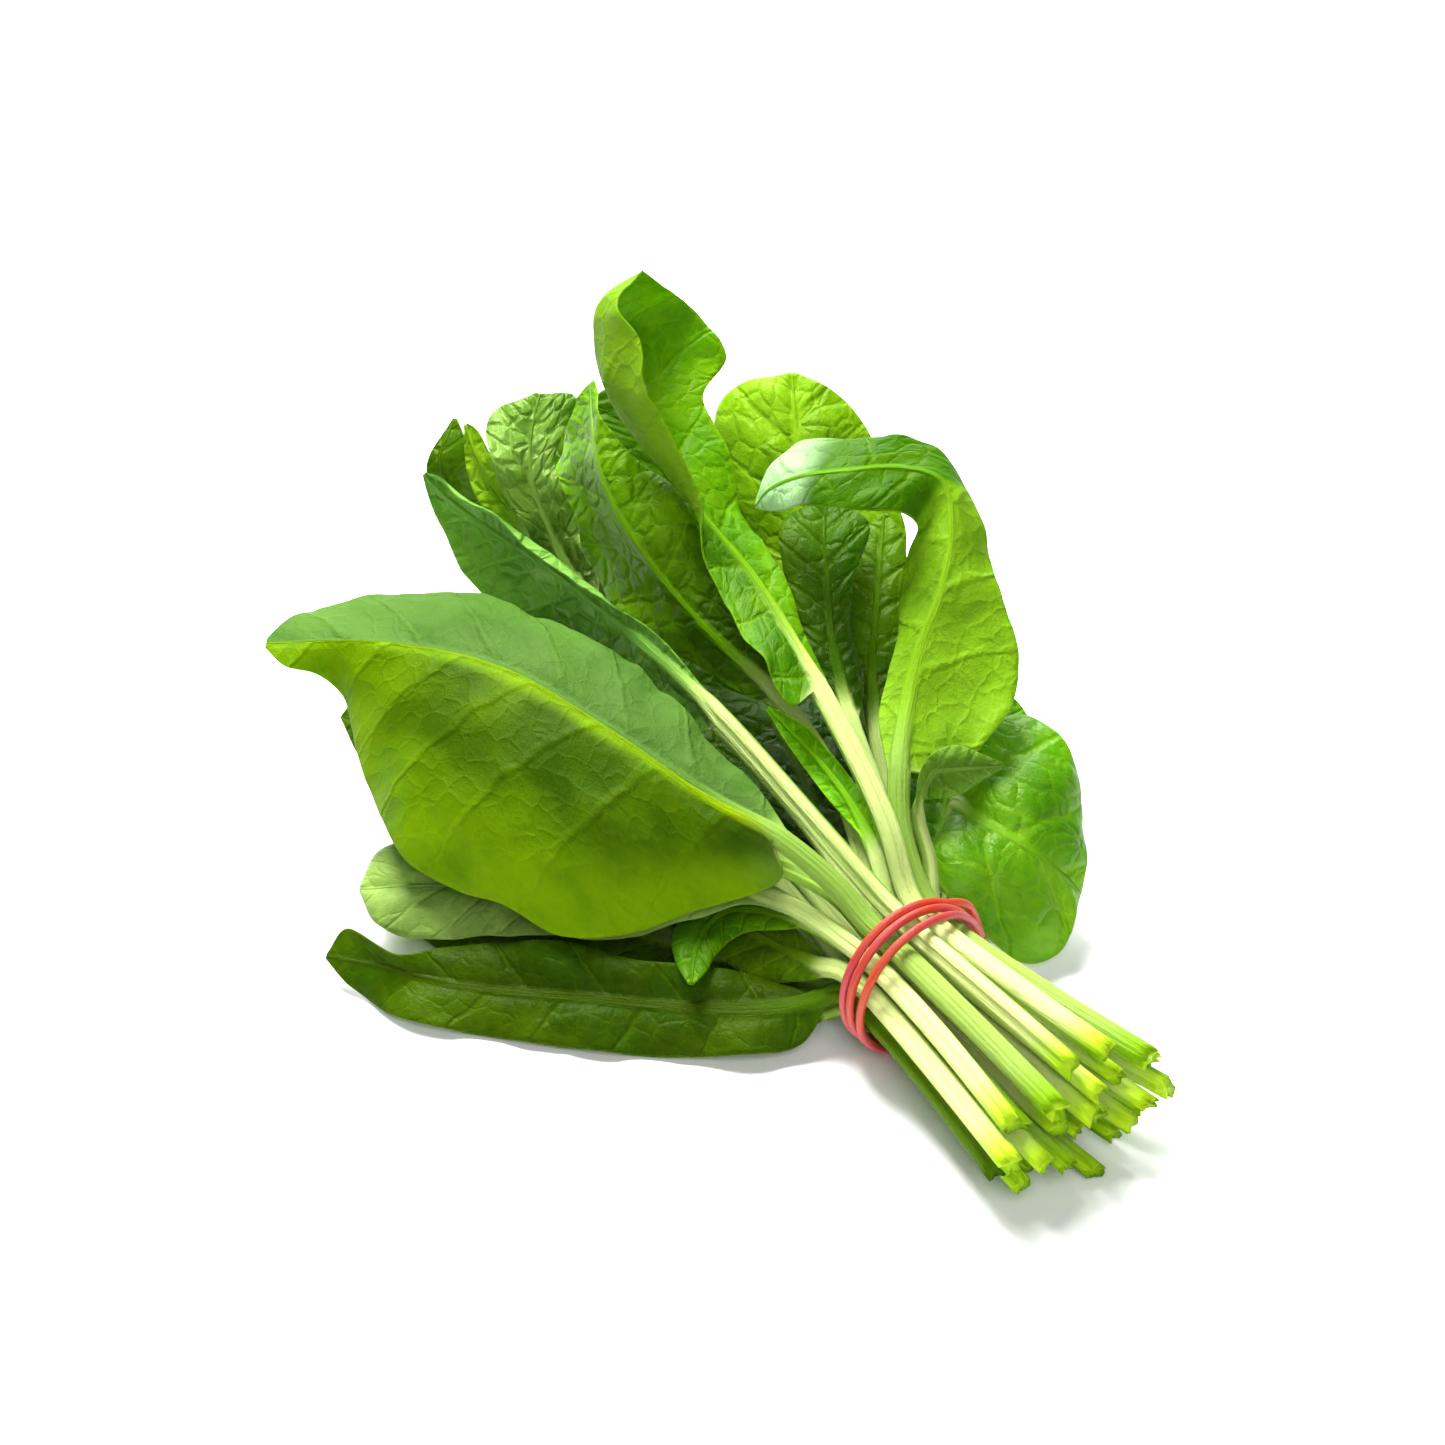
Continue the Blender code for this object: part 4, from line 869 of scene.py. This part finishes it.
def stem_colour(n, v, given):
    """The petiole and the midrib: green at the cut end, then pale, then green toward the blade, with
    painted shade on the under side.
    """
    green = n.ramp(v.along, 1.0, 18.0, 0.95, 0.0)
    green = n.math("ADD", green, n.ramp(v.share, 0.0, 0.3, 0.0, 0.7), clamp=True)
    green = n.math("ADD", green, n.ramp(v.streak, 0.48, 0.8, 0.0, 0.2), clamp=True)
    stem = n.mix(green, given["Stem"], given["Stem Green"])
    stem = n.mix(n.ramp(v.along, 48.0, 80.0, 0.0, 0.75), stem, n.tint(stem, PAST_BAND_TINT))
    # painted shade: the stem's under side is darker and greener
    stem = n.mix(n.times(v.under, 0.8), stem, n.tint(stem, STEM_UNDERSIDE_SHADE))
    far = n.mix(n.ramp(v.share, 0.3, 0.9, 0.35, 0.8), given["Vein"], v.face)
    pale = n.mix(n.ramp(v.share, 0.04, 0.32), stem, far)
    pale_share = n.ramp(v.share, 0.02, 0.22, 1.0, given["Pale Rib"])
    return n.mix(pale_share, n.mix(0.25, v.face, given["Vein"]), pale)


def leaf_height(n, v, given):
    """Height in millimetres: veins sunk above and raised below, and grooves along the stem."""
    relief = n.scaled(v.net, 0.1, n.times(v.mesh, 0.05))
    groove = n.times(n.ramp(v.away, 0.2, 3.4, 1.0, 0.0), v.blade)
    relief = n.scaled(groove, 0.5, relief)
    cushion = n.times(n.ramp(v.coarse, 0.0, 0.24, 1.0, 0.0), v.blade)
    relief = n.scaled(cushion, given["Crinkle"], relief)
    height = n.times(relief, n.scaled(v.under, 2.0, -1.0))
    height = n.scaled(n.noise(v.place, 0.9, 3.0, 0.6), 0.25, height)
    grooves = n.times(n.math("SUBTRACT", 1.0, v.blade), n.times(v.streak, 0.8))
    return n.math("ADD", height, grooves)


def leaf_group():
    """The pattern that all leaves share: colour, gloss and height from the place on the leaf."""
    tree = bpy.data.node_groups.new("leaf_pattern", "ShaderNodeTree")
    for way, kind, names in PATTERN_SOCKETS:
        for name in names:
            tree.interface.new_socket(name, in_out=way, socket_type="NodeSocket" + kind)
    n = Nodes(tree)
    given = tree.nodes.new("NodeGroupInput").outputs
    result = tree.nodes.new("NodeGroupOutput").inputs
    v = leaf_place(n, given)
    add_veins(n, v)
    blade = blade_colour(n, v, given)
    colour = n.mix(v.blade, stem_colour(n, v, given), blade)
    # painted light: the right half is tinted for the light that falls on it and shines through it
    right_light_share = n.times(n.ramp(v.side, -0.4, 0.2), n.ramp(v.share, 0.0, 0.12))
    colour = n.mix(right_light_share, colour, n.tint(colour, given["Right Light Tint"]))
    n.feed(result["Color"], colour)
    n.feed(result["Glow"], n.mix(n.scaled(v.blade, 0.55, 0.05), colour, GLOW))
    n.feed(result["Blade"], v.blade)
    n.feed(result["Roughness"], n.scaled(v.small, 0.14, n.scaled(v.under, 0.12, 0.33)))
    n.feed(result["Height"], leaf_height(n, v, given))
    return tree


def leaf_material(name, kind, light, more):
    """A leaf's material: waxy on top, and lit through from behind."""
    material = bpy.data.materials.new("leaf_" + name)
    material.use_nodes = True
    tree = material.node_tree
    shader = tree.nodes["Principled BSDF"]
    n = Nodes(tree)
    pattern = tree.nodes.new("ShaderNodeGroup")
    pattern.node_tree = PATTERN
    # light holds the leaf's own tone together with painted light and shade for where it lies
    upper, lower, vein = (tuple(c * light * BLADE_LIGHT for c in colour) for colour in COLOURS[kind])
    pale, green = STEM_COLOURS[more.get("stem", "cream")]
    turn = more.get("turn", NEVER)
    shade = more.get("shade", (0.25, 0.25))
    inputs = {
        "Upper": upper, "Lower": lower, "Vein": vein, "Stem": pale, "Stem Green": green,
        "Right Light Tint": more.get("right", (1.0, 1.0, 1.0)), "Seed": float(sum(map(ord, name)) % 17),
        "Turn Start": turn[0], "Turn End": turn[1], "Shade Left": shade[0], "Shade Right": shade[1],
        "Pale Rib": more.get("rib", 1.0), "Crinkle": more.get("crinkle", 0.5),
        "Base Shade Level": more.get("base", 1.0), "Tip Highlight": more.get("tip", 0.0),
    }
    for key, value in inputs.items():
        n.feed(pattern.inputs[key], value)
    n.feed(shader.inputs["Base Color"], pattern.outputs["Color"])
    n.feed(shader.inputs["Roughness"], pattern.outputs["Roughness"])
    shader.inputs["IOR"].default_value = 1.45
    shader.inputs["Specular IOR Level"].default_value = more.get("gloss", 0.14)
    shader.inputs["Specular Tint"].default_value = (0.85, 1.0, 0.4, 1)
    bump = n.add("ShaderNodeBump", None, {
        "Strength": 0.7, "Distance": 0.001, "Height": pattern.outputs["Height"],
    })
    n.feed(shader.inputs["Normal"], bump)
    glow = n.add("ShaderNodeBsdfTranslucent", None, {"Color": pattern.outputs["Glow"], "Normal": bump})
    share = n.scaled(pattern.outputs["Blade"], 0.08, 0.22)
    both = n.add("ShaderNodeMixShader", None, {0: share, 1: shader.outputs[0], 2: glow})
    n.feed(tree.nodes["Material Output"].inputs["Surface"], both)
    return material


def band_line():
    """The band's centre line: three turns side by side, the last crossing over to the first."""
    steps = BAND_TURNS * BAND_STEPS
    number = np.arange(steps)
    angle = np.radians(-90 + (number % BAND_STEPS + 0.5) * 360 / BAND_STEPS)
    turn = number // BAND_STEPS
    degrees = np.degrees(angle)
    moved = smooth((degrees - BAND_CROSS_START) / BAND_CROSS_LENGTH)
    last = turn == BAND_TURNS - 1
    place = np.where(last, 1 - 2 * moved, turn - 1 + moved)
    # the turns stand apart on the side toward the viewer
    front = smooth(np.cos(angle - math.radians(BAND_OPEN_SIDE)) * 0.9 + 0.05)
    x = BAND_SHIFT + place * BAND_PITCH + np.maximum(place, 0) * (BAND_SPREAD - BAND_PITCH) * front
    # the last turn rises over the others where it crosses them
    rise = smooth((degrees + 62) / 30) * smooth((58 - degrees) / 30)
    radius = BAND_RADIUS + np.where(last, BAND_LIFT * rise, 0) + 0.016 * (x - BAND_SHIFT) ** 2 * front
    outward = np.stack([np.zeros(steps), np.cos(angle), np.sin(angle)], axis=1)
    line = outward * radius[:, None]
    line[:, 0] = x
    line[:, 2] += BAND_HEIGHT
    return line, outward


def band_piece():
    """The rubber band, in place of its solid."""
    line, outward = band_line()
    along = unit(np.roll(line, -1, axis=0) - np.roll(line, 1, axis=0))
    side = unit(np.cross(along, outward))
    out = unit(np.cross(side, along))
    turns = 2 * np.pi * (np.arange(BAND_SIDES) + 0.5) / BAND_SIDES
    reach = BAND_THICKNESS / 2
    # a rounded square, as rubber strands are cut
    square = 0.94 + 0.05 * np.cos(4 * turns)
    sideways = (reach * square * np.sin(turns))[None, :, None] * side[:, None]
    outwards = (reach * square * np.cos(turns))[None, :, None] * out[:, None]
    sections = line[:, None] + sideways + outwards
    stations, columns = sections.shape[:2]
    faces = section_faces(stations, columns, ring=True)
    points = sections.reshape(-1, 3)
    points[:, 2] = np.maximum(points[:, 2], 0)
    lengths = np.concatenate([[0], np.cumsum(np.linalg.norm(np.diff(line, axis=0), axis=1))])
    values = np.stack([
        np.repeat(lengths, columns), np.tile(turns, stations),
        np.repeat(np.arange(stations) / BAND_STEPS, columns),
    ], axis=-1)
    piece = new_piece("rubber_band_look", points, faces, band_material())
    store(piece.data, "band_place", values)
    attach(piece, "root")
    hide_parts("rubber_band")
    return piece


def band_material():
    """Stretched rubber, orange-red with a magenta cast, finely streaked along its length."""
    material = bpy.data.materials.new("rubber_band_look")
    material.use_nodes = True
    shader = material.node_tree.nodes["Principled BSDF"]
    n = Nodes(material.node_tree)
    along, turn, strand = n.split("band_place")
    place = n.join(along, turn, strand)
    streak = n.noise(n.join(n.times(along, 0.03), n.times(turn, 1.4), strand), 2.2, 4.0, 0.6)
    colour = n.mix(n.ramp(n.noise(place, 0.05), 0.38, 0.62), BAND_ORANGE, BAND_MAGENTA)
    colour = n.mix(n.ramp(streak, 0.35, 0.65, 0.0, 0.5), colour, BAND_DARK)
    colour = n.mix(n.ramp(streak, 0.62, 0.8, 0.0, 0.25), colour, BAND_PALE)
    n.feed(shader.inputs["Base Color"], colour)
    shader.inputs["Roughness"].default_value = 0.42
    shader.inputs["Subsurface Weight"].default_value = 0.15
    shader.inputs["Subsurface Radius"].default_value = (0.002, 0.0006, 0.0004)
    height = n.scaled(streak, 0.5, n.noise(place, 1.1))
    bump = n.add("ShaderNodeBump", None, {"Strength": 0.35, "Distance": 0.0006, "Height": height})
    n.feed(shader.inputs["Normal"], bump)
    return material


def area_light(name, place, target, size, power, colour):
    """A soft square light that looks at a point."""
    data = bpy.data.lights.new(name, "AREA")
    data.shape = "SQUARE"
    data.size = size
    data.energy = power
    data.color = colour
    lamp = bpy.data.objects.new(name, data)
    lamp.location = place
    lamp.rotation_euler = (Vector(target) - Vector(place)).to_track_quat("-Z", "Y").to_euler()
    bpy.context.scene.collection.objects.link(lamp)
    return lamp


def stage():
    """A pale floor, a pale world and soft lights."""
    mesh = bpy.data.meshes.new("floor")
    corners = [(x * FLOOR_REACH, y * FLOOR_REACH, 0) for x, y in ((-1, -1), (1, -1), (1, 1), (-1, 1))]
    mesh.from_pydata(corners, [], [(0, 1, 2, 3)])
    floor = bpy.data.objects.new("floor", mesh)
    floor.location = FLOOR_PLACE
    material = bpy.data.materials.new("floor")
    material.use_nodes = True
    shader = material.node_tree.nodes["Principled BSDF"]
    shader.inputs["Base Color"].default_value = FLOOR_COLOUR
    shader.inputs["Roughness"].default_value = 0.9
    mesh.materials.append(material)
    bpy.context.scene.collection.objects.link(floor)
    world = bpy.data.worlds.new("world")
    world.use_nodes = True
    back = world.node_tree.nodes["Background"]
    back.inputs["Color"].default_value = WORLD_COLOUR
    back.inputs["Strength"].default_value = WORLD_STRENGTH
    bpy.context.scene.world = world
    bpy.context.scene.view_settings.view_transform = "Standard"
    for values in LIGHTS:
        area_light(*values)


def camera():
    """The camera at the photograph's angle."""
    side, height = math.radians(CAMERA_SIDE), math.radians(CAMERA_HEIGHT)
    back = Vector((
        math.sin(side) * math.cos(height), -math.cos(side) * math.cos(height), math.sin(height),
    ))
    data = bpy.data.cameras.new("camera")
    data.lens = CAMERA_LENS
    data.sensor_width = 36
    made = bpy.data.objects.new("camera", data)
    made.location = (Vector(CAMERA_TARGET) + back * CAMERA_DISTANCE) * MM
    made.rotation_euler = (-back).to_track_quat("-Z", "Y").to_euler()
    bpy.context.scene.collection.objects.link(made)
    bpy.context.scene.camera = made


for old in list(bpy.data.objects):
    bpy.data.objects.remove(old)
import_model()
PATTERN = leaf_group()
for count, values in enumerate(LEAVES):
    leaf_piece(values, count)
band_piece()
stage()
camera()
